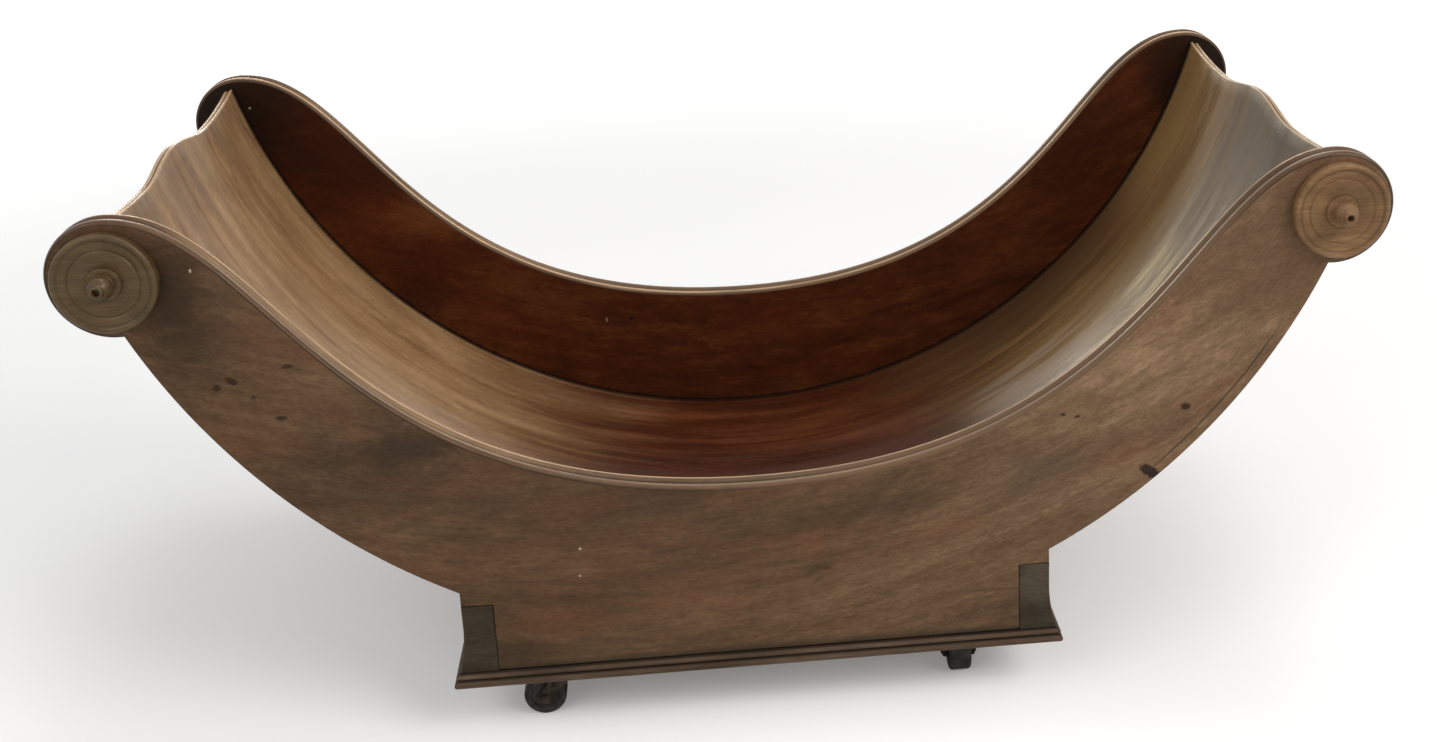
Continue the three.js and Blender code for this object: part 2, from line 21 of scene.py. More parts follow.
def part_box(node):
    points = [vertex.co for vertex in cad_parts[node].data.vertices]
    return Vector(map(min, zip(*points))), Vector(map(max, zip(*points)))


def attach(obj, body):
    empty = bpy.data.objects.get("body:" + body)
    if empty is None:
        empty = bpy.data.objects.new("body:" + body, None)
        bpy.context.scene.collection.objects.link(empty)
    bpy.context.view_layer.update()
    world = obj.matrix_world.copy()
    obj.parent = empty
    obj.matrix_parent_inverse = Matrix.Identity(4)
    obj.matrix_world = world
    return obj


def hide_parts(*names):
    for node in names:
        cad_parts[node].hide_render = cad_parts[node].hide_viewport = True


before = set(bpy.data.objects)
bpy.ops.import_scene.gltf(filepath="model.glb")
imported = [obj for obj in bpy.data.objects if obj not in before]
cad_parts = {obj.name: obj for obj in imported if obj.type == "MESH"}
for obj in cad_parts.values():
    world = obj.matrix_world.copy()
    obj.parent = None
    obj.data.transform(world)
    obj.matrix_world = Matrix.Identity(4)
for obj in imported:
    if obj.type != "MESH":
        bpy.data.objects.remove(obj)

LOG = logging.getLogger("cheese_coaster")
MM = 0.001

Point = tuple[float, float]
Triple = tuple[float, float, float]
Colour = tuple[float, float, float, float]
Shades = tuple[Colour, Colour, Colour]
Material = bpy.types.Material
Socket = bpy.types.NodeSocket
Value = Union[float, Socket]
Tint = Union[Colour, Socket]
Entries = Mapping[Union[str, int], Union[Value, Tint, Sequence[float], None]]

# Share and colour of a coat over the wood.
Coat = tuple[Value, Tint]

# Start and end of a range and, where they aren't 0 and 1, the results there.
Fade = tuple[float, ...]

# Middle of a line, half of its full width, its fade on each side, and its share.
Band = tuple[float, float, float, float]


# Colour and curve helpers.


def tone(red: int, green: int, blue: int) -> Colour:
    """Turn a colour seen on a screen, 0 to 255 a channel, into the linear colour that shaders take.

    Args:
        red: Red channel.
        green: Green channel.
        blue: Blue channel.

    Returns:
        The linear colour with full alpha.
    """
    channels = [channel / 255 for channel in (red, green, blue)]
    linear = [c / 12.92 if c <= 0.04045 else ((c + 0.055) / 1.055) ** 2.4 for c in channels]
    return (linear[0], linear[1], linear[2], 1.0)


def arc(centre: Point, radius: float, start: float, end: float, steps: int) -> list[Point]:
    """Points on a circle, both ends included.

    Args:
        centre: Middle of the circle.
        radius: Its radius.
        start: First angle from the first axis, in degrees.
        end: Last angle, in degrees.
        steps: Number of chords.

    Returns:
        The points in order.
    """
    angles = [math.radians(start + (end - start) * index / steps) for index in range(steps + 1)]
    return [(centre[0] + radius * math.cos(angle), centre[1] + radius * math.sin(angle)) for angle in angles]


def bezier(a: Point, b: Point, c: Point, d: Point, steps: int) -> list[Point]:
    """Points on a cubic curve, both ends included.

    Args:
        a: Start.
        b: First handle.
        c: Second handle.
        d: End.
        steps: Number of chords.

    Returns:
        The points in order.
    """
    points = []
    for index in range(steps + 1):
        t = index / steps
        weights = ((1 - t) ** 3, 3 * (1 - t) ** 2 * t, 3 * (1 - t) * t**2, t**3)
        points.append(tuple(sum(w * p[axis] for w, p in zip(weights, (a, b, c, d))) for axis in (0, 1)))
    return points


def running_length(points: Sequence[Point]) -> list[float]:
    """Distance of each point along a line of points, from its first one."""
    return list(accumulate(map(math.dist, points, points[1:]), initial=0.0))


def flipped(profile: Sequence[Point]) -> list[Point]:
    """A turned profile's mirror image below the middle, in reverse order."""
    return [(radius, -height) for radius, height in reversed(profile)]


def foot_of(node: str) -> Vector:
    """Lowest point on the upright line through a frame node's middle, in millimetres."""
    low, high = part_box(node)
    return Vector(((low.x + high.x) / 2 / MM, (low.y + high.y) / 2 / MM, low.z / MM))


# Pieces.


class Carrier(Enum):
    """Bodies of the frame that pieces ride on."""

    CARCASS = "carcass"
    HORN = "horn_"
    ROLLER = "roller_body_"

    def at(self, corner: str = "") -> str:
        """Name of the body, at one corner where there are four of them."""
        return self.value + corner


class Slot(Enum):
    """Material slots of the record."""

    PANEL = "mahogany_panel"
    TROUGH = "mahogany_trough"
    END_GRAIN = "mahogany_end_grain"
    MOULDING = "mahogany_moulding"
    TURNED = "turned_mahogany"
    BRASS = "aged_brass"
    ROLLER = "dark_roller"
    SCREW = "steel_screw"


@dataclass
class Skin:
    """Corners and faces of one piece before it becomes a mesh, in millimetres.

    Every corner carries a grain place: millimetres along the grain, across it and into the wood. A
    radius or an edge is never below the thinnest size, corners nearer than the merging distance
    become one, and an edge that turns by more than the crease angle stays sharp.
    """

    corners: list[Vector] = field(default_factory=list)
    faces: list[tuple[int, ...]] = field(default_factory=list)
    grain: list[Vector] = field(default_factory=list)
    finish_of_face: list[int] = field(default_factory=list)
    thinnest: float = 1e-3
    merging: float = 2e-3
    crease: float = 38.0

    def add_rings(
        self,
        rings: Sequence[Sequence[Vector]],
        grain: Optional[Sequence[Sequence[Vector]]] = None,
        finish: Optional[Sequence[int]] = None,
        cap_finish: tuple[int, int] = (0, 0),
        looped: bool = False,
    ) -> None:
        """Add a skin through rings of points that match one to one, and fill the end rings.

        Args:
            rings: The rings in order, all with the same number of points.
            grain: A grain place for each point; the points' own places if left out.
            finish: Material index of the strip that begins at each point of a ring; 0 if left out.
            cap_finish: Material indices of the first and last ring's filling.
            looped: Whether the last ring joins the first, with no filling.
        """
        base, count = len(self.corners), len(rings[0])
        for ring in rings:
            self.corners.extend(ring)
        for places in grain or rings:
            self.grain.extend(places)
        starts = [base + number * count for number in range(len(rings))]
        for start, after in zip(starts, starts[1:] + starts[:1] if looped else starts[1:]):
            for i in range(count):
                j = (i + 1) % count
                self.faces.append((start + i, start + j, after + j, after + i))
            self.finish_of_face.extend(finish or [0] * count)
        if not looped:
            self.faces.append(tuple(reversed(range(base, base + count))))
            self.faces.append(tuple(range(starts[-1], starts[-1] + count)))
            self.finish_of_face.extend(cap_finish)

    def add_turned(self, profile: Sequence[Point], facets: int, looped: bool = False) -> None:
        """Add a shape turned on the Z axis.

        Args:
            profile: Radius and height pairs; a radius of 0 closes the shape on the axis.
            facets: Number of facets round the axis.
            looped: Whether the profile closes on itself, round a bore.
        """
        rings = []
        for radius, height in profile:
            circle = arc((0, 0), max(radius, self.thinnest), 0, 360 - 360 / facets, facets - 1)
            rings.append([Vector((x, y, height)) for x, y in circle])
        self.add_rings(rings, looped=looped)

    def build(self, name: str, finishes: Sequence[Material]) -> bpy.types.Object:
        """Make the Blender object.

        Args:
            name: Name of the piece.
            finishes: Materials by index.

        Returns:
            The new object, linked to the scene.
        """
        mesh = bpy.data.meshes.new(name)
        mesh.from_pydata([corner * MM for corner in self.corners], [], self.faces)
        places = mesh.attributes.new("grain", "FLOAT_VECTOR", "POINT")
        places.data.foreach_set("vector", [value for place in self.grain for value in place])
        for material in finishes:
            mesh.materials.append(material)
        mesh.polygons.foreach_set("material_index", self.finish_of_face)
        work = bmesh.new()
        work.from_mesh(mesh)
        bmesh.ops.remove_doubles(work, verts=work.verts, dist=self.merging * MM)
        bmesh.ops.dissolve_degenerate(work, edges=work.edges, dist=self.thinnest * MM)
        bmesh.ops.recalc_face_normals(work, faces=work.faces)
        for face in work.faces:
            face.smooth = True
        for edge in work.edges:
            beside_flat = any(len(face.verts) > 4 for face in edge.link_faces)
            edge.smooth = not beside_flat and edge.calc_face_angle(math.pi) < math.radians(self.crease)
        work.to_mesh(mesh)
        work.free()
        piece = bpy.data.objects.new(name, mesh)
        bpy.context.scene.collection.objects.link(piece)
        return piece

    def hand_over(
        self,
        name: str,
        finishes: Sequence[Material],
        body: str,
        node: str,
        move: Optional[Matrix] = None,
    ) -> None:
        """Make the piece, put it on its body in place of its frame node, and report it.

        Args:
            name: Name of the piece.
            finishes: Materials by index.
            body: Body that carries it.
            node: Frame node that it stands for.
            move: Move to its place, in millimetres.
        """
        if move is not None:
            self.corners = [move @ corner for corner in self.corners]
        piece = self.build(name, finishes)
        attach(piece, body)
        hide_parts(node)
        LOG.info("%s: %d faces on %s", piece.name, len(piece.data.polygons), body)


def dress(name: str, material: Material) -> None:
    """Give a frame node that stays another material.

    Args:
        name: Name of the node.
        material: The material.
    """
    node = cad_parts[name]
    node.data.materials.clear()
    node.data.materials.append(material)
    LOG.info("%s: dressed with %s", node.name, material.name)


# Sizes that the pieces share.


@dataclass(frozen=True)
class CoasterSizes:
    """Sizes of the coaster in millimetres, as the frame has them."""

    plinth_lift: float = 19.5
    outer_face: float = 99.4
    inner_face: float = 90.2
    arc_centre_z: float = 248.7
    lower_edge_radius: float = 218.1
    board_outer_radius: float = 214.5
    board_inner_radius: float = 210.5
    scroll_x: float = 200.4
    scroll_z: float = 177.0
    scroll_radius: float = 19.6
    moulding_height: float = 5.4
    moulding_width: float = 5.0
    moulding_projection: float = 2.1
    bead_radius: float = 1.15
    fit_gap: float = 0.3
    close_gap: float = 0.1
    neck_half: float = 102.6
    end_top: float = 50.9
    flare: float = 2.7
    flare_height: float = 18.0
    end_thickness: float = 10.7

    @property
    def arc_centre(self) -> Point:
        """Centre of the lower edge and of the trough."""
        return (0.0, self.arc_centre_z)

    @property
    def moulding_top(self) -> float:
        """Height of the moulding's upper face."""
        return self.plinth_lift + self.moulding_height

    @property
    def panel_foot(self) -> float:
        """Height of the panels' feet, on the moulding."""
        return self.moulding_top + self.fit_gap

    @property
    def end_inner_face(self) -> float:
        """Distance of the plinth ends' inner faces from the middle."""
        return self.neck_half - self.end_thickness

    def on_arc(self, radius: float, angle: float) -> Point:
        """Point at a radius about the arc centre, at an angle in degrees from straight down."""
        turn = math.radians(angle)
        return (radius * math.sin(turn), self.arc_centre_z - radius * math.cos(turn))

    def arc_height(self, radius: float, x: float) -> float:
        """Height of a circle about the arc centre at a distance from the middle."""
        return self.arc_centre_z - math.sqrt(radius**2 - x**2)


SIZES = CoasterSizes()


# Materials.


@dataclass(frozen=True)
class Noise:
    """A soft noise: patch size in millimetres, octaves, weight of the finer ones, warp, and own shift."""

    size: Triple
    detail: float
    rough: float
    warp: float
    shift: float = 0.0


@dataclass(frozen=True)
class Blot:
    """A stain, dot or chip on a face, or a painted shadow, as an ellipse with a frayed edge."""

    centre: Point
    size: Point
    colour: Colour
    share: float = 0.6
    turn: float = 0.0
    fray: float = 1.6
    core: float = 0.1


class Sketch:
    """The nodes of one material or world, laid out with short calls."""

    ramp_places = (0.38, 0.5, 0.62)
    polar_radius = 300.0

    def __init__(self, owner: Union[Material, bpy.types.World]) -> None:
        """Start with the nodes that Blender gives the owner.

        Args:
            owner: The material or the world.
        """
        owner.use_nodes = True
        self.owner = owner
        self.tree = owner.node_tree

    def put(self, node: bpy.types.Node, entries: Entries) -> None:
        """Set sockets of a node, or link them to other sockets.

        Args:
            node: The node.
            entries: Value or source of each socket; None leaves a socket as it is.
        """
        for name, entry in entries.items():
            if isinstance(entry, Socket):
                self.tree.links.new(entry, node.inputs[name])
            elif entry is not None:
                node.inputs[name].default_value = entry

    def node(self, kind: str, entries: Optional[Entries] = None) -> bpy.types.Node:
        """A new node with its sockets set or linked.

        Args:
            kind: Blender's name of it, without ShaderNode.
            entries: Value or source of each socket.

        Returns:
            The node.
        """
        node = self.tree.nodes.new(f"ShaderNode{kind}")
        self.put(node, entries or {})
        return node

    def object_place(self) -> Socket:
        """Place on the piece in millimetres."""
        return self.scaled(self.node("TexCoord").outputs["Object"], (1 / MM, 1 / MM, 1 / MM))

    def grain_place(self) -> Socket:
        """Grain place that the mesh carries.

        Returns:
            The place in millimetres.
        """
        node = self.node("Attribute")
        node.attribute_name = "grain"
        return node.outputs["Vector"]

    def scaled(
        self,
        place: Socket,
        scale: Sequence[float] = (1, 1, 1),
        turn: Sequence[float] = (0, 0, 0),
        move: Sequence[float] = (0, 0, 0),
    ) -> Socket:
        """Stretch, turn and move a place.

        Args:
            place: The place.
            scale: Factor along each axis.
            turn: Rotation in degrees, made after the stretch.
            move: Shift, made last.

        Returns:
            The new place.
        """
        turned = [math.radians(angle) for angle in turn]
        entries = {"Vector": place, "Scale": scale, "Rotation": turned, "Location": move}
        return self.node("Mapping", entries).outputs["Vector"]

    def noise(self, place: Socket, noise: Noise, seed: float) -> Socket:
        """Soft noise from 0 to 1.

        Args:
            place: Place in millimetres.
            noise: The noise.
            seed: Shift that all noises of one material share.

        Returns:
            The noise.
        """
        shift = seed + noise.shift
        entries = {
            "Vector": self.scaled(
                place, [1 / length for length in noise.size], move=(shift, 1.7 * shift, 2.3 * shift)
            ),
            "Scale": 1,
            "Detail": noise.detail,
            "Roughness": noise.rough,
            "Distortion": noise.warp,
        }
        return self.node("TexNoise", entries).outputs["Fac"]

    def span(self, value: Value, low: float, high: float, to_low: float = 0, to_high: float = 1) -> Socket:
        """Map a range smoothly onto another, held at both ends.

        Args:
            value: Input.
            low: Start of its range.
            high: End of its range.
            to_low: Result at and below the start.
            to_high: Result at and above the end.

        Returns:
            The mapped value.
        """
        names = ("Value", "From Min", "From Max", "To Min", "To Max")
        node = self.node("MapRange", dict(zip(names, (value, low, high, to_low, to_high))))
        node.interpolation_type = "SMOOTHSTEP"
        return node.outputs["Result"]

    def math(self, operation: str, first: Value, second: Value = 0.0, third: Value = 0.0) -> Socket:
        """One sum on numbers.

        Args:
            operation: The sum, as Blender names it.
            first: First number.
            second: Second number.
            third: Third number.

        Returns:
            The result.
        """
        node = self.node("Math")
        node.operation = operation
        self.put(node, {0: first, 1: second, 2: third})
        return node.outputs["Value"]

    def times(self, first: Value, *others: Value) -> Socket:
        """Product of numbers.

        Args:
            first: First number.
            others: The numbers that multiply it, in order.

        Returns:
            The product.
        """
        for other in others:
            first = self.math("MULTIPLY", first, other)
        return first

    def shifted(self, value: Value, other: Value, factor: Value) -> Socket:
        """A value plus another one times a factor."""
        return self.math("MULTIPLY_ADD", other, factor, value)

    def axis(self, place: Socket, letter: str) -> Socket:
        """One axis of a place."""
        return self.node("SeparateXYZ", {"Vector": place}).outputs[letter]

    def length(self, place: Socket) -> Socket:
        """Distance of a place from the origin.

        Args:
            place: The place.

        Returns:
            The distance.
        """
        node = self.node("VectorMath", {0: place})
        node.operation = "LENGTH"
        return node.outputs["Value"]

    def mix(self, share: Value, first: Tint, second: Tint, blend: str = "MIX") -> Socket:
        """Mix two colours.

        Args:
            share: Share of the second one.
            first: First colour.
            second: Second colour.
            blend: Blender's name of the way of mixing.

        Returns:
            The mixed colour.
        """
        node = self.node("Mix")
        node.data_type = "RGBA"
        node.blend_type = blend
        self.put(node, {"Factor": share, 6: first, 7: second})
        return node.outputs[2]

    def coated(self, colour: Tint, coats: Sequence[Coat]) -> Tint:
        """A colour under coats.

        Args:
            colour: The colour.
            coats: Share and colour of each coat, from the lowest up.

        Returns:
            The colour that shows.
        """
        for share, tint in coats:
            colour = self.mix(share, colour, tint)
        return colour

    def shaded(self, colour: Tint, factor: Value) -> Socket:
        """A colour made darker or lighter by a factor."""
        grey = self.node("CombineColor", {"Red": factor, "Green": factor, "Blue": factor})
        return self.mix(1.0, colour, grey.outputs["Color"], "MULTIPLY")

    def ramp(self, value: Value, shades: Shades) -> Socket:
        """Shades along a value.

        Args:
            value: From 0 to 1.
            shades: Dark, middle and light shade.

        Returns:
            The colour.
        """
        node = self.node("ValToRGB", {"Fac": value})
        elements = node.color_ramp.elements
        elements.new(0.5)
        for element, position, shade in zip(elements, self.ramp_places, shades):
            element.position = position
            element.color = shade
        return node.outputs["Color"]

    def polar(self, place: Socket, centre: Point) -> Socket:
        """Place along circles about a centre in the XZ plane: length along them, Y, and radius.

        Args:
            place: Place in millimetres.
            centre: Middle of the circles.

        Returns:
            The polar place, with lengths from straight down, measured on a circle of the polar radius.
        """
        moved = self.scaled(place, move=(-centre[0], 0, -centre[1]))
        across, up = self.axis(moved, "X"), self.axis(moved, "Z")
        angle = self.math("ARCTAN2", across, self.times(up, -1.0))
        radius = self.math("SQRT", self.shifted(self.times(up, up), across, across))
        entries = {"X": self.times(angle, self.polar_radius), "Y": self.axis(place, "Y"), "Z": radius}
        return self.node("CombineXYZ", entries).outputs["Vector"]

    def blot(self, place: Socket, blot: Blot, ragged: Socket) -> Socket:
        """How strongly a blot covers a place.

        Args:
            place: Place in millimetres.
            blot: The blot.
            ragged: Noise that frays its edge.

        Returns:
            0 outside, up to the blot's share inside.
        """
        wide, high = blot.size
        moved = self.scaled(place, (1, 0, 1), move=(-blot.centre[0], 0, -blot.centre[1]))
        turned = self.scaled(moved, turn=(0, blot.turn, 0))
        off = self.length(self.scaled(turned, (1 / wide, 1, 1 / high)))
        edge = self.shifted(off, ragged, blot.fray)
        return self.span(edge, blot.core + blot.fray / 2, 1 + blot.fray / 2, blot.share, 0)

    def line(self, value: Socket, middle: float, half: float, soft: float, share: float) -> Socket:
        """A soft-edged line across a value.

        Args:
            value: The value.
            middle: Where the line lies.
            half: Half of its full width.
            soft: Width of the fade on each side.
            share: Result on the line.

        Returns:
            The share on the line, and 0 off it.
        """
        off = self.math("ABSOLUTE", self.math("SUBTRACT", value, middle))
        return self.span(off, half, half + soft, share, 0)

    def bump(self, height: Value, depth: float, under: Optional[Socket] = None) -> Socket:
        """Relief of the surface.

        Args:
            height: Height from 0 to 1.
            depth: Full height in millimetres.
            under: Another relief that lies below.

        Returns:
            The normal.
        """
        entries = {"Distance": depth * MM, "Strength": 1, "Height": height, "Normal": under}
        return self.node("Bump", entries).outputs["Normal"]

    def done(self, colour: Tint, roughness: Value, others: Entries) -> Material:
        """Wire the shader and give the material.

        Args:
            colour: Base colour.
            roughness: Roughness.
            others: Entries of the shader's other sockets.

        Returns:
            The material.
        """
        shader = self.tree.nodes["Principled BSDF"]
        self.put(shader, {"Base Color": colour, "Roughness": roughness, **others})
        return self.owner


@dataclass(frozen=True)
class Stretch:
    """Another colouring that takes over along the grain: partly the wood's own tone, partly painted light and
    sheen where one end is lit more.
    """

    start: float
    full: float
    shades: Shades


CLOUDS = Noise((80, 60, 34), 5, 0.62, 0.7)
MOTTLE = Noise((9, 8, 4), 7, 0.74, 0.4, 9)
PORES = Noise((3.4, 1.2, 0.26), 2, 0.5, 0, 11)
WANDER = Noise((150, 40, 8), 4, 0.6, 0.2, 13)
BLUSH = Noise((60, 50, 26), 4, 0.6, 0.5, 17)
COARSE_FRAY = Noise((14, 14, 6), 6, 0.72, 0.6, 19)
FINE_FRAY = Noise((1.5, 1.5, 1.1), 4, 0.7, 0.4, 21)
WAVES = Noise((60, 20, 9), 3, 0.5, 0, 29)


@dataclass(frozen=True)
class Wood:
    """Waxed wood: clouds, streaked figure, fine flecks and open pores along the grain.

    Its gloss is its roughness where the wax shines most and least. Its shares are those of clouds,
    figure, streaks and mottle in its light and dark.
    """

    name: str
    shades: Shades
    red: Colour
    pore: Colour
    gloss: Point = (0.5, 0.65)
    carried_grain: bool = False
    grain_centre: Optional[Point] = None
    figure_turn: float = 0.0
    figure_length: float = 70.0
    figure_width: float = 7.0
    streak_width: float = 1.6
    shares: tuple[float, ...] = (0.46, 0.34, 0.2, 0.0)
    fleck_size: Triple = (4.5, 3.0, 0.6)
    wax_size: Triple = (40.0, 20.0, 9.0)
    red_share: float = 0.4
    pore_share: float = 0.4
    fleck_share: float = 0.16
    shine: float = 0.2
    seed: float = 0.0
    stretches: tuple[Stretch, ...] = ()
    blots: tuple[Blot, ...] = ()
    stretch_wander: float = 110.0
    coarse_above: float = 6.0
    pore_range: Fade = (0.6, 0.72)
    blush_range: Fade = (0.48, 0.66)
    fleck_range: Fade = (0.32, 0.68)
    wax_range: Fade = (0.35, 0.65)
    pore_dullness: float = 0.12
    wave_depth: float = 0.16
    fleck_depth: float = 0.012
    pore_depth: float = 0.02
    sheen: Colour = (1.0, 0.86, 0.66, 1.0)

    def place(self, sketch: Sketch) -> Socket:
        """Place along the grain.

        Args:
            sketch: Material in the making.

        Returns:
            A place whose X runs along the grain and whose Z runs across the face.
        """
        if self.carried_grain:
            return sketch.scaled(sketch.grain_place(), turn=(90, 0, 0))
        if self.grain_centre:
            return sketch.polar(sketch.object_place(), self.grain_centre)
        return sketch.object_place()

    def body(self, sketch: Sketch, place: Socket) -> Socket:
        """Light and dark of the figure.

        Args:
            sketch: Material in the making.
            place: Place along the grain.

        Returns:
            Values about 0.5.
        """
        turned = sketch.scaled(place, turn=(0, self.figure_turn, 0))
        figure = Noise((self.figure_length, 25, self.figure_width), 6, 0.66, 0.5, 3)
        streaks = Noise((45, 12, self.streak_width), 5, 0.66, 0.2, 5)
        body: Value = 0.0
        noises = ((turned, CLOUDS), (turned, figure), (place, streaks), (turned, MOTTLE))
        for (where, noise), share in zip(noises, self.shares):
            body = sketch.shifted(body, sketch.noise(where, noise, self.seed), share)
        return body

    def stretch_tones_and_painted_light(self, sketch: Sketch, place: Socket, body: Socket) -> list[Coat]:
        """The stretches of other colouring, partly painted light, as coats.

        Args:
            sketch: Material in the making.
            place: Place along the grain.
            body: Light and dark of the figure.

        Returns:
            One coat for each stretch.
        """
        if not self.stretches:
            return []
        wander, half = sketch.noise(place, WANDER, self.seed), self.stretch_wander / 2
        along = sketch.shifted(sketch.axis(place, "X"), wander, self.stretch_wander)
        return [
            (sketch.span(along, other.start + half, other.full + half), sketch.ramp(body, other.shades))
            for other in self.stretches
        ]

    def stains_and_painted_shadows(self, sketch: Sketch) -> list[Coat]:
        """The blots, stains and painted shadows alike, as coats.

        Args:
            sketch: Material in the making.

        Returns:
            One coat for each blot.
        """
        if not self.blots:
            return []
        here = sketch.object_place()
        coarse, fine = (sketch.noise(here, noise, self.seed) for noise in (COARSE_FRAY, FINE_FRAY))
        frays = [coarse if max(blot.size) > self.coarse_above else fine for blot in self.blots]
        return [(sketch.blot(here, blot, fray), blot.colour) for blot, fray in zip(self.blots, frays)]

    def wear_and_painted_light(self, sketch: Sketch) -> list[Coat]:
        """Coats of dirt, wear, painted light and painted shade on top of the wood; plain wood has none."""
        return []

    def dulling(self, sketch: Sketch) -> Value:
        """Roughness to add where the wood was never polished; plain wood has none."""
        return 0.0

    def material(self) -> Material:
        """The finished material.

        Returns:
            The material with its colour, gloss and relief.
        """
        sketch = Sketch(bpy.data.materials.new(self.name))
        place = self.place(sketch)
        body = self.body(sketch, place)
        fleck = sketch.noise(place, Noise(self.fleck_size, 4, 0.7, 0.3, 7), self.seed)
        pores = sketch.span(sketch.noise(place, PORES, self.seed), *self.pore_range)
        blush = sketch.span(sketch.noise(place, BLUSH, self.seed), *self.blush_range)
        redness = (sketch.times(blush, self.red_share), self.red)
        under = [*self.stretch_tones_and_painted_light(sketch, place, body), redness, *self.stains_and_painted_shadows(sketch)]
        colour = sketch.coated(sketch.ramp(body, self.shades), under)
        shade = sketch.span(fleck, *self.fleck_range, 1 - self.fleck_share, 1 + self.fleck_share)
        over = [(sketch.times(pores, self.pore_share), self.pore), *self.wear_and_painted_light(sketch)]
        colour = sketch.coated(sketch.shaded(colour, shade), over)
        wax = sketch.noise(place, Noise(self.wax_size, 5, 0.65, 0.3, 23), self.seed)
        rough = sketch.shifted(sketch.span(wax, *self.wax_range, *self.gloss), pores, self.pore_dullness)
        rough = sketch.math("ADD", rough, self.dulling(sketch))
        normal = sketch.bump(sketch.noise(place, WAVES, self.seed), self.wave_depth)
        normal = sketch.bump(fleck, self.fleck_depth, normal)
        normal = sketch.bump(sketch.math("SUBTRACT", 1.0, pores), self.pore_depth, normal)
        return sketch.done(
            colour, rough, {"Normal": normal, "Specular IOR Level": self.shine, "Specular Tint": self.sheen}
        )


@dataclass(frozen=True)
class FaceWood(Wood):
    """Outer face of a panel: a darker band along its foot, and a crack that follows the lower edge.

    The crack's start and end are angles in degrees from straight down.
    """

    dirt_and_shade: Colour = tone(46, 40, 30)
    wander: Noise = Noise((14, 14, 14), 4, 0.6, 0, 31)
    foot_wander: float = 3.0
    foot_heights: Point = (2.0, 5.2)
    foot_share: float = 0.75
    crack_wander: float = 1.2
    crack: Band = (214.2, 0.15, 0.35, 0.75)
    crack_start: Fade = (38.5, 42.5)
    crack_end: Fade = (54.5, 60.5, 1, 0)

    def wear_and_painted_light(self, sketch: Sketch) -> list[Coat]:
        """A darker band along the foot, and the crack.

        Args:
            sketch: Material in the making.

        Returns:
            The coats, from the lowest up.
        """
        place = sketch.object_place()
        wander = sketch.noise(place, self.wander, self.seed)
        height = sketch.shifted(sketch.axis(place, "Z"), wander, self.foot_wander)
        low, high = (SIZES.panel_foot + lift for lift in self.foot_heights)
        ring = sketch.polar(place, SIZES.arc_centre)
        radius = sketch.shifted(sketch.axis(ring, "Z"), wander, self.crack_wander)
        middle, *edges = self.crack
        line = sketch.line(radius, middle + self.crack_wander / 2, *edges)
        turn = sketch.math("DIVIDE", sketch.axis(ring, "X"), math.radians(sketch.polar_radius))
        within = sketch.times(sketch.span(turn, *self.crack_start), sketch.span(turn, *self.crack_end))
        # darker band along the foot, just above the moulding
        foot = sketch.span(height, low, high, self.foot_share, 0)
        return [(foot, self.dirt_and_shade), (sketch.times(line, within), self.dirt_and_shade)]


@dataclass(frozen=True)
class InsideWood(Wood):
    """Inner face of a panel: a ragged line of dirt along its joint with the trough board."""

    dirt_and_shade: Colour = tone(20, 11, 7)
    wander: Noise = Noise((6, 6, 6), 5, 0.7, 0.3, 31)
    raggedness: float = 2.4
    joint: Fade = (-0.9, -0.1, 0.85, 0)

    def wear_and_painted_light(self, sketch: Sketch) -> list[Coat]:
        """The line of dirt, just above the trough board.

        Args:
            sketch: Material in the making.

        Returns:
            The coats, from the lowest up.
        """
        place = sketch.object_place()
        radius = sketch.axis(sketch.polar(place, SIZES.arc_centre), "Z")
        above = sketch.math("SUBTRACT", SIZES.board_inner_radius, radius)
        ragged = sketch.shifted(above, sketch.noise(place, self.wander, self.seed), -self.raggedness)
        return [(sketch.span(ragged, *self.joint), self.dirt_and_shade)]


@dataclass(frozen=True)
class MouldingWood(Wood):
    """Moulding: painted shade and dirt as a dark line in the quirk between bead and torus, and a darker band
    against the panel.
    """

    dirt_and_shade: Colour = tone(38, 30, 24)
    quirk_line: Triple = (0.25, 0.5, 0.85)
    joint_height: float = 0.5
    joint_share: float = 0.8

    def wear_and_painted_light(self, sketch: Sketch) -> list[Coat]:
        """Painted shade and dirt in the quirk, and a darker band against the panel.

        Args:
            sketch: Material in the making.

        Returns:
            The coats, from the lowest up.
        """
        height, top = sketch.axis(sketch.object_place(), "Z"), SIZES.moulding_top
        # painted shade and dirt: the quirk darkened as a recess
        quirk = sketch.line(height, top - 2 * SIZES.bead_radius, *self.quirk_line)
        joint = sketch.span(height, top - self.joint_height, top, 0, self.joint_share)
        return [(quirk, self.dirt_and_shade), (joint, self.dirt_and_shade)]


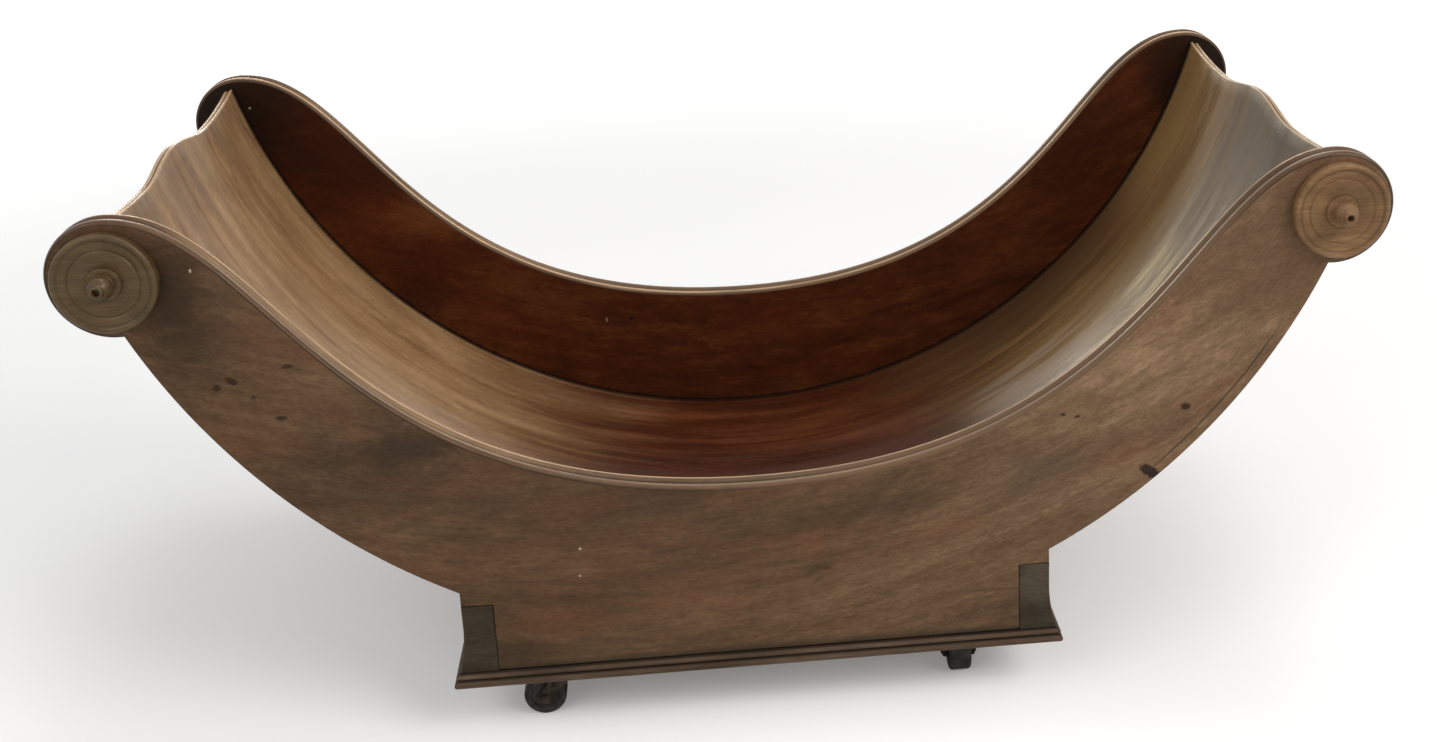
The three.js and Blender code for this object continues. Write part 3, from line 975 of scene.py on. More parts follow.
@dataclass(frozen=True)
class RimWood(Wood):
    """Double-reeded rim: pale crests of wear and painted highlight, a painted glare strip on the left, darker
    grooves between the reeds, painted shade low on the scrolls, and a faded right half.

    The crests and the strip lie at distances from the outer face, the groove at depths below the crests,
    and the rest at places along X or heights.
    """

    wear_highlight: Colour = tone(200, 162, 120)
    faded: Colour = tone(106, 81, 60)
    dirt_and_shade: Colour = tone(40, 27, 20)
    wear_glint_noise: Noise = Noise((30, 3, 3), 5, 0.65, 0.3, 31)
    wear_glint_range: Fade = (0.3, 0.62, 0.35, 1)
    faded_start: Fade = (-40, 60)
    faded_end: Fade = (150, 184, 1, 0)
    faded_share: float = 0.8
    groove: Fade = (0.5, 1.15)
    groove_shares: Point = (0.8, 0.15)
    # painted highlights along the reed crests, partly wear, and a painted glare strip on the left part of the
    # rim
    crests: tuple[Band, ...] = ((7.6, 0.3, 0.6, 0.9), (1.9, 0.2, 0.6, 0.25))
    strip: Band = (5.4, 1.6, 1.2, 0.4)
    strip_start: Fade = (-186, -168)
    strip_end: Fade = (-100, -50, 1, 0)
    # painted shade low on the scrolls' outer rims
    scroll_low: Fade = (172, 196, 0.8, 0)
    scroll_out: Fade = (186, 204)

    def wear_and_painted_light(self, sketch: Sketch) -> list[Coat]:
        """Wear, painted highlights, painted shade and darker grooves by the place across the rim and along
        it.

        Args:
            sketch: Material in the making.

        Returns:
            The coats, from the lowest up.
        """
        place, here = sketch.grain_place(), sketch.object_place()
        across, inset = sketch.axis(place, "Y"), sketch.axis(place, "Z")
        x, z = sketch.axis(here, "X"), sketch.axis(here, "Z")
        rubbed_glint = sketch.span(sketch.noise(place, self.wear_glint_noise, self.seed), *self.wear_glint_range)
        pale = sketch.times(sketch.span(x, *self.faded_start), sketch.span(x, *self.faded_end))
        # darker in the groove between the reeds, less where the rim is faded
        groove = sketch.times(sketch.span(inset, *self.groove), sketch.span(pale, 0, 1, *self.groove_shares))
        # painted highlights: pale crests and strip, partly wear
        crests = [sketch.times(sketch.line(across, *crest), rubbed_glint) for crest in self.crests]
        left = sketch.times(sketch.span(x, *self.strip_end), sketch.span(x, *self.strip_start))
        strip = sketch.times(sketch.line(across, *self.strip), left, rubbed_glint)
        out = sketch.span(sketch.math("ABSOLUTE", x), *self.scroll_out)
        return [
            (sketch.times(pale, self.faded_share), self.faded),
            (groove, self.dirt_and_shade),
            *((share, self.wear_highlight) for share in (*crests, strip)),
            # painted shade low on the scrolls' outer rims
            (sketch.times(sketch.span(z, *self.scroll_low), out), self.dirt_and_shade),
        ]


@dataclass(frozen=True)
class TroughWood(Wood):
    """Trough board: reeded ends with painted highlights and painted shade between the reeds, and a streaked
    right half with a painted glare, a painted glint, gold streaks partly lifted by painted light, and a dark
    margin.

    Along runs from the middle to the right, across to the rear, and deep from the inner surface down.
    """

    olive: Colour = tone(136, 106, 62)
    shade: Colour = tone(54, 39, 21)
    gold_and_light: Colour = tone(160, 125, 78)
    glare: Colour = tone(162, 145, 129)
    rubbed_glint: Colour = tone(196, 176, 130)
    margin: Colour = tone(76, 51, 32)
    dirt_and_shade: Colour = tone(34, 24, 18)
    underside: Colour = tone(84, 60, 41)
    wear_highlight: Colour = tone(182, 150, 112)
    streaks: Noise = Noise((170, 7, 10), 6, 0.7, 0.4, 31)
    streak_wander: float = 90.0
    olive_along: Fade = (66, 150)
    olive_across: Band = (68, 10, 26, 0.6)
    top_along: Fade = (150, 205)
    shade_across: Fade = (54, 84, 0.65, 0)
    gold_light_across: Fade = (88, 112, 0, 0.6)
    glare_along: Band = (133, 14, 34, 0.6)
    glare_across: Fade = (54, 72, 1, 0)
    glint_along: Band = (190, 5, 18, 0.5)
    glint_across: Band = (52, 3, 14, 1)
    margin_start: Fade = (30, 130)
    margin_along: Fade = (180, 230, 1, 0.2)
    margin_across: Fade = (70, 116, 0, 0.85)
    joint_across: Fade = (86.4, 88.8, 0, 0.9)
    underside_depths: Point = (3.6, 3.9)
    underside_share: float = 0.75
    underside_dullness: float = 0.4
    ends_deep: Fade = (0.05, 0.3, 0, 0.7)
    reed_groove: Band = (2.0, 0.12, 0.3, 0.8)

    def dulling(self, sketch: Sketch) -> Value:
        """The underside of the board is dull."""
        deep = sketch.axis(sketch.grain_place(), "Z")
        return sketch.span(deep, *self.underside_depths, 0, self.underside_dullness)

    def wear_and_painted_light(self, sketch: Sketch) -> list[Coat]:
        """Painted glare, painted glint, darker top, gold partly lifted by painted light and margin of the
        right half, dirt along the rear joint, underside, and painted highlight and shade on the reeds.

        Args:
            sketch: Material in the making.

        Returns:
            The coats, from the lowest up.
        """
        place = sketch.grain_place()
        along, across, deep = (sketch.axis(place, letter) for letter in "XYZ")
        streaked = sketch.shifted(across, sketch.noise(place, self.streaks, self.seed), self.streak_wander)
        above = sketch.span(deep, *self.underside_depths, 1, 0)
        top = sketch.span(along, *self.top_along)
        olive = (sketch.line(streaked, *self.olive_across), sketch.span(along, *self.olive_along))
        shade = (top, sketch.span(streaked, *self.shade_across))
        # gold streaks, partly painted light lifting the shade near the rear panel
        gold_and_light = (top, sketch.span(streaked, *self.gold_light_across))
        # painted reflection: a pale glare of window light laid into the colour
        glare = (sketch.span(streaked, *self.glare_across), above, sketch.line(along, *self.glare_along))
        # painted highlight: a bright cream glint near the front rim
        rubbed_glint = (sketch.line(streaked, *self.glint_across), above, sketch.line(along, *self.glint_along))
        margin = (
            sketch.span(streaked, *self.margin_across),
            sketch.span(along, *self.margin_along),
            sketch.span(along, *self.margin_start),
        )
        return [
            (sketch.times(*olive), self.olive),
            (sketch.times(*shade), self.shade),
            (sketch.times(*gold_and_light), self.gold_and_light),
            (sketch.times(*glare), self.glare),
            (sketch.times(*rubbed_glint), self.rubbed_glint),
            (sketch.times(*margin), self.margin),
            (sketch.span(across, *self.joint_across), self.dirt_and_shade),
            (sketch.span(deep, *self.underside_depths, 0, self.underside_share), self.underside),
            # painted highlights on the reeds of the board's ends, partly wear
            (sketch.times(sketch.span(deep, *self.ends_deep), above), self.wear_highlight),
            # painted shade in the hollow between the reeds
            (sketch.line(deep, *self.reed_groove), self.dirt_and_shade),
        ]


@dataclass(frozen=True)
class TurnedWood(Wood):
    """Turned wood: darker rings in the grooves round the middle, and painted shade in the button's hole."""

    dirt_and_shade: Colour = tone(34, 26, 18)
    grooves: tuple[Point, ...] = ((14.35, 0.32), (11.2, 0.08), (5.8, 0.16), (3.0, 0.15))
    groove_half: float = 0.05
    groove_soft: float = 0.8
    # painted shade in the button's hole
    hole: Fade = (0.7, 1.2, 0.75, 0)

    def wear_and_painted_light(self, sketch: Sketch) -> list[Coat]:
        """Darker rings, and painted shade in the button's hole, by the distance from the middle.

        Args:
            sketch: Material in the making.

        Returns:
            The coats, from the lowest up.
        """
        radius = sketch.length(sketch.scaled(sketch.grain_place(), (1, 1, 0)))
        edges = (self.groove_half, self.groove_soft)
        shares = [sketch.line(radius, groove, *edges, share) for groove, share in self.grooves]
        # darker rings, then painted shade in the button's hole
        return [(share, self.dirt_and_shade) for share in (*shares, sketch.span(radius, *self.hole))]


@dataclass(frozen=True)
class Metal:
    """Tarnished metal: bright metal under dull patches."""

    name: str
    bright: Colour
    dull: Colour
    roughness: float
    metal: float
    seed: float = 0.0
    tarnish: Noise = Noise((3.5, 3.5, 3.5), 5, 0.6, 0.4)
    grit: Noise = Noise((0.5, 0.5, 0.5), 3, 0.6, 0, 5)
    tarnish_range: Fade = (0.38, 0.6)
    grit_shade: Fade = (0.3, 0.7, 0.8, 1.15)
    tarnish_dullness: float = 0.25
    grit_depth: float = 0.03
    tarnish_depth: float = 0.05

    def material(self) -> Material:
        """The finished material.

        Returns:
            The material with its tarnish and grit.
        """
        sketch = Sketch(bpy.data.materials.new(self.name))
        place = sketch.object_place()
        patches = sketch.span(sketch.noise(place, self.tarnish, self.seed), *self.tarnish_range)
        grit = sketch.noise(place, self.grit, self.seed)
        colour = sketch.mix(patches, self.bright, self.dull)
        colour = sketch.shaded(colour, sketch.span(grit, *self.grit_shade))
        rough = sketch.shifted(self.roughness, patches, self.tarnish_dullness)
        normal = sketch.bump(grit, self.grit_depth, sketch.bump(patches, self.tarnish_depth))
        return sketch.done(colour, rough, {"Normal": normal, "Metallic": self.metal})


# Side panels.


@dataclass
class SidePanel:
    """A crescent side panel with scroll ends and a double-reeded rim.

    Its finishes are those of its outer face, its rim and its inner face.
    """

    depth: str
    side: int
    finishes: Sequence[Material]
    rim_low: float = 89.5
    middle_handle: float = 144.0
    crest_handle: float = 50.5
    reed_depth: float = 1.3
    reed_hollow: float = 0.6
    reed_fade: float = 50.0
    edge_round: float = 0.7
    rim_steps: int = 60
    arc_steps: int = 44
    scroll_steps: int = 44
    reed_step: int = 12

    def right_half(self) -> list[tuple[Point, float]]:
        """Outline of the right half from the foot to the rim's low point.

        Returns:
            The points, each with how far it is reeded, from 0 to 1.
        """
        scroll = (SIZES.scroll_x, SIZES.scroll_z)
        reach = math.dist(SIZES.arc_centre, scroll)
        edge = SIZES.lower_edge_radius
        spread = math.acos((reach**2 + edge**2 - SIZES.scroll_radius**2) / (2 * reach * edge))
        bearing = math.degrees(math.atan2(scroll[0], SIZES.arc_centre_z - scroll[1]) - spread)
        corner = SIZES.on_arc(edge, bearing)
        foot_x = SIZES.end_inner_face - SIZES.close_gap
        shoulder = SIZES.end_top + SIZES.close_gap
        first = math.degrees(math.asin(SIZES.neck_half / edge))
        turn = (bearing - first) / self.arc_steps
        lower = [SIZES.on_arc(edge, first + turn * step) for step in range(self.arc_steps + 1)]
        scroll_start = math.degrees(math.atan2(corner[1] - scroll[1], corner[0] - scroll[0]))
        round_scroll = arc(scroll, SIZES.scroll_radius, scroll_start, 90, self.scroll_steps)[1:]
        crest_x, crest_z = round_scroll[-1]
        handles = ((crest_x - self.crest_handle, crest_z), (self.middle_handle, self.rim_low))
        rim = bezier(round_scroll[-1], *handles, (0, self.rim_low), self.rim_steps)[1:]
        neck = [(foot_x, SIZES.panel_foot), (foot_x, shoulder), (SIZES.neck_half, shoulder)]
        outline = [(point, 0.0) for point in neck + lower]
        for x, z in round_scroll:
            angle = math.degrees(math.atan2(z - scroll[1], x - scroll[0]))
            outline.append(((x, z), min(1.0, (angle - scroll_start) / self.reed_fade)))
        return outline + [(point, 1.0) for point in rim]

    def stations(self) -> list[Triple]:
        """Places across the thickness.

        Returns:
            Distance from the outer face, reeded inset and plain inset of each.
        """
        thickness = SIZES.outer_face - SIZES.inner_face
        radius = (thickness - self.reed_hollow) / 4
        found = []
        for start in (0.0, 2 * radius + self.reed_hollow):
            for angle in range(0, 181, self.reed_step):
                across = start + radius * (1 - math.cos(math.radians(angle)))
                reeded = self.reed_depth * (1 - math.sin(math.radians(angle)))
                near_edge = max(0.0, self.edge_round - min(across, thickness - across))
                plain = self.edge_round - math.sqrt(self.edge_round**2 - near_edge**2)
                found.append((across, reeded, plain))
        return found

    def build(self) -> None:
        """Make the panel and hand it over."""
        right = self.right_half()
        outline = right + [((-x, z), reed) for (x, z), reed in reversed(right[:-1])]
        points = [point for point, _ in outline]
        inward = []
        for before, after in zip(points[-1:] + points, points[1:] + points[:1]):
            run = math.dist(before, after)
            inward.append(((before[1] - after[1]) / run, (after[0] - before[0]) / run))
        rings, grain = [], []
        for across, reeded, plain in self.stations():
            ring, places = [], []
            y = self.side * (SIZES.outer_face - across)
            for (point, reed), normal, length in zip(outline, inward, running_length(points)):
                inset = reed * reeded + (1 - reed) * plain
                ring.append(Vector((point[0] + inset * normal[0], y, point[1] + inset * normal[1])))
                places.append(Vector((length, across, inset)))
            rings.append(ring)
            grain.append(places)
        skin = Skin()
        skin.add_rings(rings, grain, [int(reed > 0) for _, reed in outline], cap_finish=(0, 2))
        body, node = Carrier.CARCASS.at(), f"side_panel_{self.depth}"
        skin.hand_over(f"crescent_{self.depth}", self.finishes, body, node)


# Trough board.


@dataclass
class TroughBoard:
    """The bent board between the panels, with cupid's-bow ends that carry two small reeds."""

    material: Material
    end_angle: float = 74.51
    bow_peak: float = 1.0
    bow_dip: float = 3.3
    dip_place: float = 0.45
    reed_depth: float = 0.8
    reed_hollow: float = 0.2
    reed_step: int = 20
    arc_steps: int = 110
    across_steps: int = 56

    def bow(self, share: float) -> float:
        """How far an end stands above its corners.

        Args:
            share: Distance from the middle as a share of the half width.

        Returns:
            The rise, below 0 where the end dips.
        """
        if share < self.dip_place:
            swing = math.cos(math.pi * share / self.dip_place)
            return (self.bow_peak - self.bow_dip + (self.bow_peak + self.bow_dip) * swing) / 2
        return self.bow_dip * (((share - self.dip_place) / (1 - self.dip_place)) ** 2 - 1)

    def end_profile(self) -> list[Point]:
        """Points round one end, from the inner surface.

        Returns:
            Radius of each, and its distance back from the end.
        """
        inner, outer = SIZES.board_inner_radius, SIZES.board_outer_radius
        radius = (outer - inner - self.reed_hollow) / 4
        points = []
        for start in (inner, inner + 2 * radius + self.reed_hollow):
            for angle in range(0, 181, self.reed_step):
                turn = math.radians(angle)
                points.append((start + radius * (1 - math.cos(turn)), self.reed_depth * (1 - math.sin(turn))))
        return points

    def build(self) -> None:
        """Make the board and hand it over."""
        half = SIZES.inner_face - SIZES.fit_gap
        inner, outer = SIZES.board_inner_radius, SIZES.board_outer_radius
        rings, grain = [], []
        for number in range(self.across_steps + 1):
            share = 2 * number / self.across_steps - 1
            end = self.end_angle + math.degrees(self.bow(abs(share)) / inner)
            last = end - math.degrees(self.reed_depth / inner)
            swings = [2 * step / self.arc_steps for step in range(1, self.arc_steps)]
            right = [(radius, end - math.degrees(back / radius)) for radius, back in self.end_profile()]
            inside = [(inner, last * (swing - 1)) for swing in swings]
            outside = [(outer, last * (1 - swing)) for swing in swings]
            left = [(radius, -angle) for radius, angle in reversed(right)]
            ring, places = [], []
            for radius, angle in inside + right + outside + left:
                x, z = SIZES.on_arc(radius, angle)
                ring.append(Vector((x, share * half, z)))
                places.append(Vector((inner * math.radians(angle), share * half, radius - inner)))
            rings.append(ring)
            grain.append(places)
        skin = Skin()
        skin.add_rings(rings, grain)
        body = Carrier.CARCASS.at()
        skin.hand_over("bent_trough_board", [self.material], body, "trough_board")


# Plinth.


@dataclass
class Plinth:
    """Moulding on four sides, hollow-faced ends, and the base board and glue blocks of the frame."""

    moulding: Material
    end_grain: Material
    side_wood: Material
    raw_wood: Material
    bead_set_back: float = 0.7
    quirk_depth: float = 0.9
    strip_steps: int = 24
    flare_steps: int = 24
    top_steps: int = 4
    edge_ease: float = 0.25
    grain_shift: float = 300.0

    def section(self) -> list[Point]:
        """Section of the moulding.

        Returns:
            Distance out from its back and height of each point.
        """
        bead_radius, height = SIZES.bead_radius, SIZES.moulding_height
        quirk = height - 2 * bead_radius
        torus = quirk / 2
        bead_x = SIZES.moulding_width - self.bead_set_back - bead_radius
        return [
            (0, 0),
            *arc((SIZES.moulding_width - torus, torus), torus, -90, 60, 14),
            (bead_x + bead_radius - self.quirk_depth, quirk),
            *arc((bead_x, height - bead_radius), bead_radius, -60, 90, 12),
            (0, height),
        ]

    def strip(self, side: str, half: float, back: float, turn: float, shift: float) -> None:
        """One mitred length of moulding.

        Args:
            side: Side of the plinth that it is on.
            half: Half of its length along its back.
            back: Distance of its back from the middle.
            turn: Turn about Z in degrees; 0 is the front.
            shift: Shift of its grain.
        """
        section = self.section()
        rings, grain = [], []
        for step in range(self.strip_steps + 1):
            share = 2 * step / self.strip_steps - 1
            ring, places = [], []
            for (out, height), length in zip(section, running_length(section)):
                along = share * (half + out - SIZES.fit_gap / 2)
                ring.append(Vector((along, -back - out, SIZES.plinth_lift + height)))
                places.append(Vector((along + shift, length, out)))
            rings.append(ring)
            grain.append(places)
        skin = Skin()
        skin.add_rings(rings, grain)
        body, node = Carrier.CARCASS.at(), f"plinth_moulding_{side}"
        move = Matrix.Rotation(math.radians(turn), 4, "Z")
        skin.hand_over(f"moulding_{side}", [self.moulding], body, node, move)

    def end(self, hand: str, side: int) -> None:
        """One plinth end, hollowed on its outer face.

        Args:
            hand: Hand that it is on.
            side: 1 for the right end and -1 for the left.
        """
        radius = (SIZES.flare_height**2 + SIZES.flare**2) / (2 * SIZES.flare)
        sweep = math.degrees(math.asin(SIZES.flare_height / radius))
        centre = (SIZES.neck_half + radius, SIZES.panel_foot + SIZES.flare_height)
        hollow = arc(centre, radius, 180 + sweep, 180, self.flare_steps)
        inner_x, outer_x = SIZES.end_inner_face, SIZES.neck_half
        steps = range(self.top_steps + 1)
        tops = [outer_x - SIZES.end_thickness * step / self.top_steps for step in steps]
        under_board = SIZES.board_outer_radius + SIZES.fit_gap
        level = [(x, SIZES.end_top) for x in tops]
        curved = [(x, SIZES.arc_height(under_board, x)) for x in tops]
        middle = (inner_x + outer_x) / 2

        def ring(y: float, top: Sequence[Point], inset: float) -> list[Vector]:
            """Outline at one Y, drawn in by an inset along X."""
            points = [(inner_x, SIZES.panel_foot), *hollow, *top]
            return [Vector((side * (x + (inset if x < middle else -inset)), y, z)) for x, z in points]

        outer, inner = SIZES.outer_face, SIZES.inner_face - SIZES.fit_gap
        ease = self.edge_ease
        front = [
            ring(-outer, level, ease),
            ring(-outer + ease, level, 0),
            ring(-inner, level, 0),
            ring(-inner, curved, 0),
        ]
        rings = front + [[Vector((p.x, -p.y, p.z)) for p in points] for points in reversed(front)]
        grain = [[Vector((p.y, p.x, p.z)) for p in points] for points in rings]
        skin = Skin()
        skin.add_rings(rings, grain, [0, *[1] * len(hollow), *[0] * len(tops)])
        body, finishes = Carrier.CARCASS.at(), [self.end_grain, self.side_wood]
        skin.hand_over(f"hollow_end_{hand}", finishes, body, f"plinth_end_{hand}")

    def build(self) -> None:
        """Make the plinth and dress the frame nodes that stay."""
        out = SIZES.moulding_projection - SIZES.moulding_width
        reach_x = SIZES.neck_half + SIZES.flare + out
        reach_y = SIZES.outer_face + out
        turns = {"front": 0, "right": 90, "rear": 180, "left": -90}
        for number, (side, turn) in enumerate(turns.items()):
            half, back = (reach_y, reach_x) if number % 2 else (reach_x, reach_y)
            self.strip(side, half, back, turn, self.grain_shift * number)
        self.end("left", -1)
        self.end("right", 1)
        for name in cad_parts:
            if name == "base_board" or name.startswith("glue_block"):
                dress(name, self.raw_wood)


# Roundels.


@dataclass
class Roundel:
    """A turned disc with a broad rim, a shallow dish and a pierced button."""

    place: str
    side_x: int
    side_y: int
    material: Material
    radius: float = 16.5
    facets: int = 128

    def profile(self) -> list[Point]:
        """Radius and height pairs from the back's middle to the bottom of the button's hole."""
        edge = self.radius
        return [
            (0, 0),
            (edge - 0.5, 0),
            (edge - 0.15, 0.15),
            (edge, 0.5),
            (edge, 2.6),
            *arc((edge - 1.15, 3.05), 1.15, 0, 120, 12),
            (14.5, 3.75),
            (14.3, 3.65),
            *arc((13.7, 3.4), 0.35, 50, 100, 3),
            (11.6, 3.5),
            (11.2, 3.2),
            (10.8, 3.5),
            (6.2, 3.2),
            (5.6, 3.1),
            *arc((5.0, 3.5), 0.5, -20, 100, 6),
            (4.3, 4.15),
            *bezier((3.5, 4.2), (3.0, 4.6), (3.2, 4.9), (3.6, 5.3), 5),
            *bezier((3.7, 5.45), (4.5, 6.6), (4.3, 8.6), (2.5, 10.2), 12),
            *bezier((2.4, 10.3), (2.2, 10.9), (2.0, 11.4), (1.5, 11.45), 6),
            (1.25, 11.35),
            (1.1, 11.0),
            (1.0, 9.4),
            (0, 9.2),
        ]

    def build(self) -> None:
        """Make the roundel and hand it over."""
        skin = Skin()
        skin.add_turned(self.profile(), self.facets)
        facing = Matrix.Rotation(math.radians(-90 * self.side_y), 4, "X")
        back = self.side_y * (SIZES.outer_face + SIZES.fit_gap)
        move = Matrix.Translation((self.side_x * SIZES.scroll_x, back, SIZES.scroll_z)) @ facing
        body, node = Carrier.CARCASS.at(), f"roundel_{self.place}"
        skin.hand_over(f"disc_{self.place}", [self.material], body, node, move)


# Castors.


@dataclass
class Castor:
    """One castor: horn, axle pin, roller, swivel pin and slotted screws, round the frame's own plate."""

    corner: str
    swivel: float
    brass: Material
    roller_metal: Material
    steel: Material
    trail: float = 5.5
    roller_radius: float = 7.5
    roller_width: float = 8.0
    roller_round: float = 1.3
    roller_facets: int = 64
    bore_gap: float = 0.2
    arm_gap: float = 0.4
    strap: float = 1.4
    strap_ease: float = 0.3
    crown_strap: float = 2.2
    crown_half: float = 3.7
    crown_top: float = 18.0
    crown_bend: float = 0.5
    boss_radius: float = 2.6
    boss_angles: range = range(-80, 1, 10)
    bend_angles: range = range(15, 91, 15)
    climb_steps: int = 8
    axle_radius: float = 1.0
    axle_head: float = 1.7
    axle_play: float = 0.15
    axle_flatness: float = 0.45
    axle_facets: int = 32
    pin_radius: float = 1.6
    pin_seat: float = 19.5
    pin_gap: float = 0.2
    pin_facets: int = 40
    screw_head: float = 1.68
    screw_bevel: float = 0.3
    screw_facets: int = 28
    slot_half: float = 0.22
    slot_depth: float = 0.35
    first_turn: float = 35.0
    turn_step: float = 61.0

    @property
    def middle(self) -> Vector:
        """Point on the swivel's line at the ground."""
        return Vector((*foot_of(f"swivel_pin_{self.corner}").xy, 0))

    def to_place(self) -> Matrix:
        """From the castor's own axes to the frame's."""
        return Matrix.Translation(self.middle) @ Matrix.Rotation(math.radians(self.swivel), 4, "Z")

    def to_axle(self) -> Matrix:
        """From a shape turned on Z to the axle."""
        hub = Matrix.Translation((-self.trail, 0, self.roller_radius))
        return self.to_place() @ hub @ Matrix.Rotation(math.pi / 2, 4, "X")

    def horn(self) -> None:
        """The horn: one strap up from the axle, over the crown and down to the axle again."""
        inside = self.roller_width / 2 + self.arm_gap
        middle = inside + self.strap / 2
        bend_start = self.crown_top - self.crown_strap - self.crown_bend
        rings = []
        for angle in self.boss_angles:
            turn = math.radians(angle)
            height = self.roller_radius + self.boss_radius * math.sin(turn)
            half = self.boss_radius * math.cos(turn)
            rings.append(self.strap_ring((middle, height), (1, 0), self.strap, -self.trail, half))
        for step in range(1, self.climb_steps + 1):
            share = step / self.climb_steps
            ease = share * share * (3 - 2 * share)
            height = self.roller_radius + (bend_start - self.roller_radius) * share
            half = self.boss_radius + (self.crown_half - self.boss_radius) * ease
            centre = -self.trail * (1 - ease)
            rings.append(self.strap_ring((middle, height), (1, 0), self.strap, centre, half))
        for angle in self.bend_angles:
            across, up = math.cos(math.radians(angle)), math.sin(math.radians(angle))
            thickness = self.strap + (self.crown_strap - self.strap) * angle / 90
            reach = self.crown_bend + thickness / 2
            spot = (inside - self.crown_bend + reach * across, bend_start + reach * up)
            rings.append(self.strap_ring(spot, (across, up), thickness, 0, self.crown_half))
        mirrored = [[Vector((p.x, -p.y, p.z)) for p in ring] for ring in reversed(rings)]
        skin = Skin()
        skin.add_rings(rings + mirrored)
        body, node = Carrier.HORN.at(self.corner), f"castor_horn_{self.corner}"
        skin.hand_over(f"horn_{self.corner}", [self.brass], body, node, self.to_place())

    def strap_ring(
        self, spot: Point, outward: Point, thickness: float, centre: float, half: float
    ) -> list[Vector]:
        """Rounded section of the strap.

        Args:
            spot: Middle of the section, as Y and Z.
            outward: Direction of the thickness, as Y and Z.
            thickness: Thickness there.
            centre: Middle of its width along X.
            half: Half of its width.

        Returns:
            The ring.
        """
        ease = min(self.strap_ease, half / 2)
        inner, outer = half - ease, thickness / 2 - ease
        ring = []
        for side, face in ((1, -1), (1, 1), (-1, 1), (-1, -1)):
            bevel = ((side * inner, face * thickness / 2), (side * half, face * outer))
            for x, offset in bevel if side == -face else reversed(bevel):
                place = (spot[0] + offset * outward[0], spot[1] + offset * outward[1])
                ring.append(Vector((centre + x, *place)))
        return ring

    def axle(self) -> None:
        """The axle pin with a domed head outside each arm."""
        end = self.roller_width / 2 + self.arm_gap + self.strap + self.axle_play
        dome = arc((0, 0), self.axle_head, 8, 90, 8)
        head = [(radius, end + self.axle_flatness * height) for radius, height in dome]
        upper = [(self.axle_radius, end), (self.axle_head, end), *head]
        skin = Skin()
        skin.add_turned(flipped(upper) + upper, self.axle_facets)
        body, node = Carrier.HORN.at(self.corner), f"axle_pin_{self.corner}"
        skin.hand_over(f"axle_{self.corner}", [self.brass], body, node, self.to_axle())

    def roller(self) -> None:
        """The roller, a solid wheel with rounded shoulders and dished sides."""
        half, shoulder = self.roller_width / 2, self.roller_round
        side = [
            (self.axle_radius + self.bore_gap, half),
            (2.4, half),
            (2.7, half - 0.35),
            (4.6, half - 0.5),
            (5.0, half - 0.1),
            (self.roller_radius - shoulder, half),
            *arc((self.roller_radius - shoulder, half - shoulder), shoulder, 80, 0, 8),
        ]
        skin = Skin()
        skin.add_turned(side + flipped(side), self.roller_facets, looped=True)
        body, node = Carrier.ROLLER.at(self.corner), f"roller_{self.corner}"
        skin.hand_over(f"wheel_{self.corner}", [self.roller_metal], body, node, self.to_axle())

    def swivel_pin(self) -> None:
        """The swivel pin with its riveted foot under the crown."""
        foot, seat = self.crown_top - self.crown_strap - self.pin_gap, self.pin_seat
        dome = arc((0, 0), 2.3, 90, 10, 8)
        rivet = [(radius, foot - 0.5 - 0.15 * height) for radius, height in dome]
        shank = [(2.4, foot), (self.pin_radius, foot), (self.pin_radius, seat)]
        head = [(3.2, seat), (3.2, seat + 0.8), (2.9, seat + 1), (0, seat + 1)]
        skin = Skin()
        skin.add_turned([*rivet, *shank, *head], self.pin_facets)
        body, node = Carrier.CARCASS.at(), f"swivel_pin_{self.corner}"
        move = Matrix.Translation(self.middle)
        skin.hand_over(f"pivot_{self.corner}", [self.brass], body, node, move)

    def screw(self, number: int) -> None:
        """A countersunk screw with a straight slot in its head.

        Args:
            number: 1 to 4, as the frame numbers them.
        """
        head, top, depth = self.screw_head, self.screw_head - self.screw_bevel, self.slot_depth
        skin = Skin()
        skin.add_turned([(0, depth), (top, depth), (0.9, 1.2), (0.9, 4.0), (0, 4.8)], self.screw_facets)
        limit = math.degrees(math.asin(self.slot_half / head))
        for start in (limit, 180 + limit):
            lower = arc((0, 0), head, start, start + 180 - 2 * limit, 20)
            upper = arc((0, 0), top, start + 1, start + 179 - 2 * limit, 20)
            skin.add_rings([[Vector((*p, 0)) for p in lower], [Vector((*p, depth)) for p in upper]])
        node = f"screw_{self.corner}_{number}"
        turn = math.radians(self.first_turn + self.turn_step * number + self.swivel)
        move = Matrix.Translation(foot_of(node)) @ Matrix.Rotation(turn, 4, "Z")
        skin.hand_over(f"slotted_{node}", [self.steel], Carrier.CARCASS.at(), node, move)

    def build(self) -> None:
        """Make the castor and dress its plate."""
        self.horn()
        self.axle()
        self.roller()
        self.swivel_pin()
        for number in (1, 2, 3, 4):
            self.screw(number)
        dress(f"castor_plate_{self.corner}", self.brass)


# Stage.


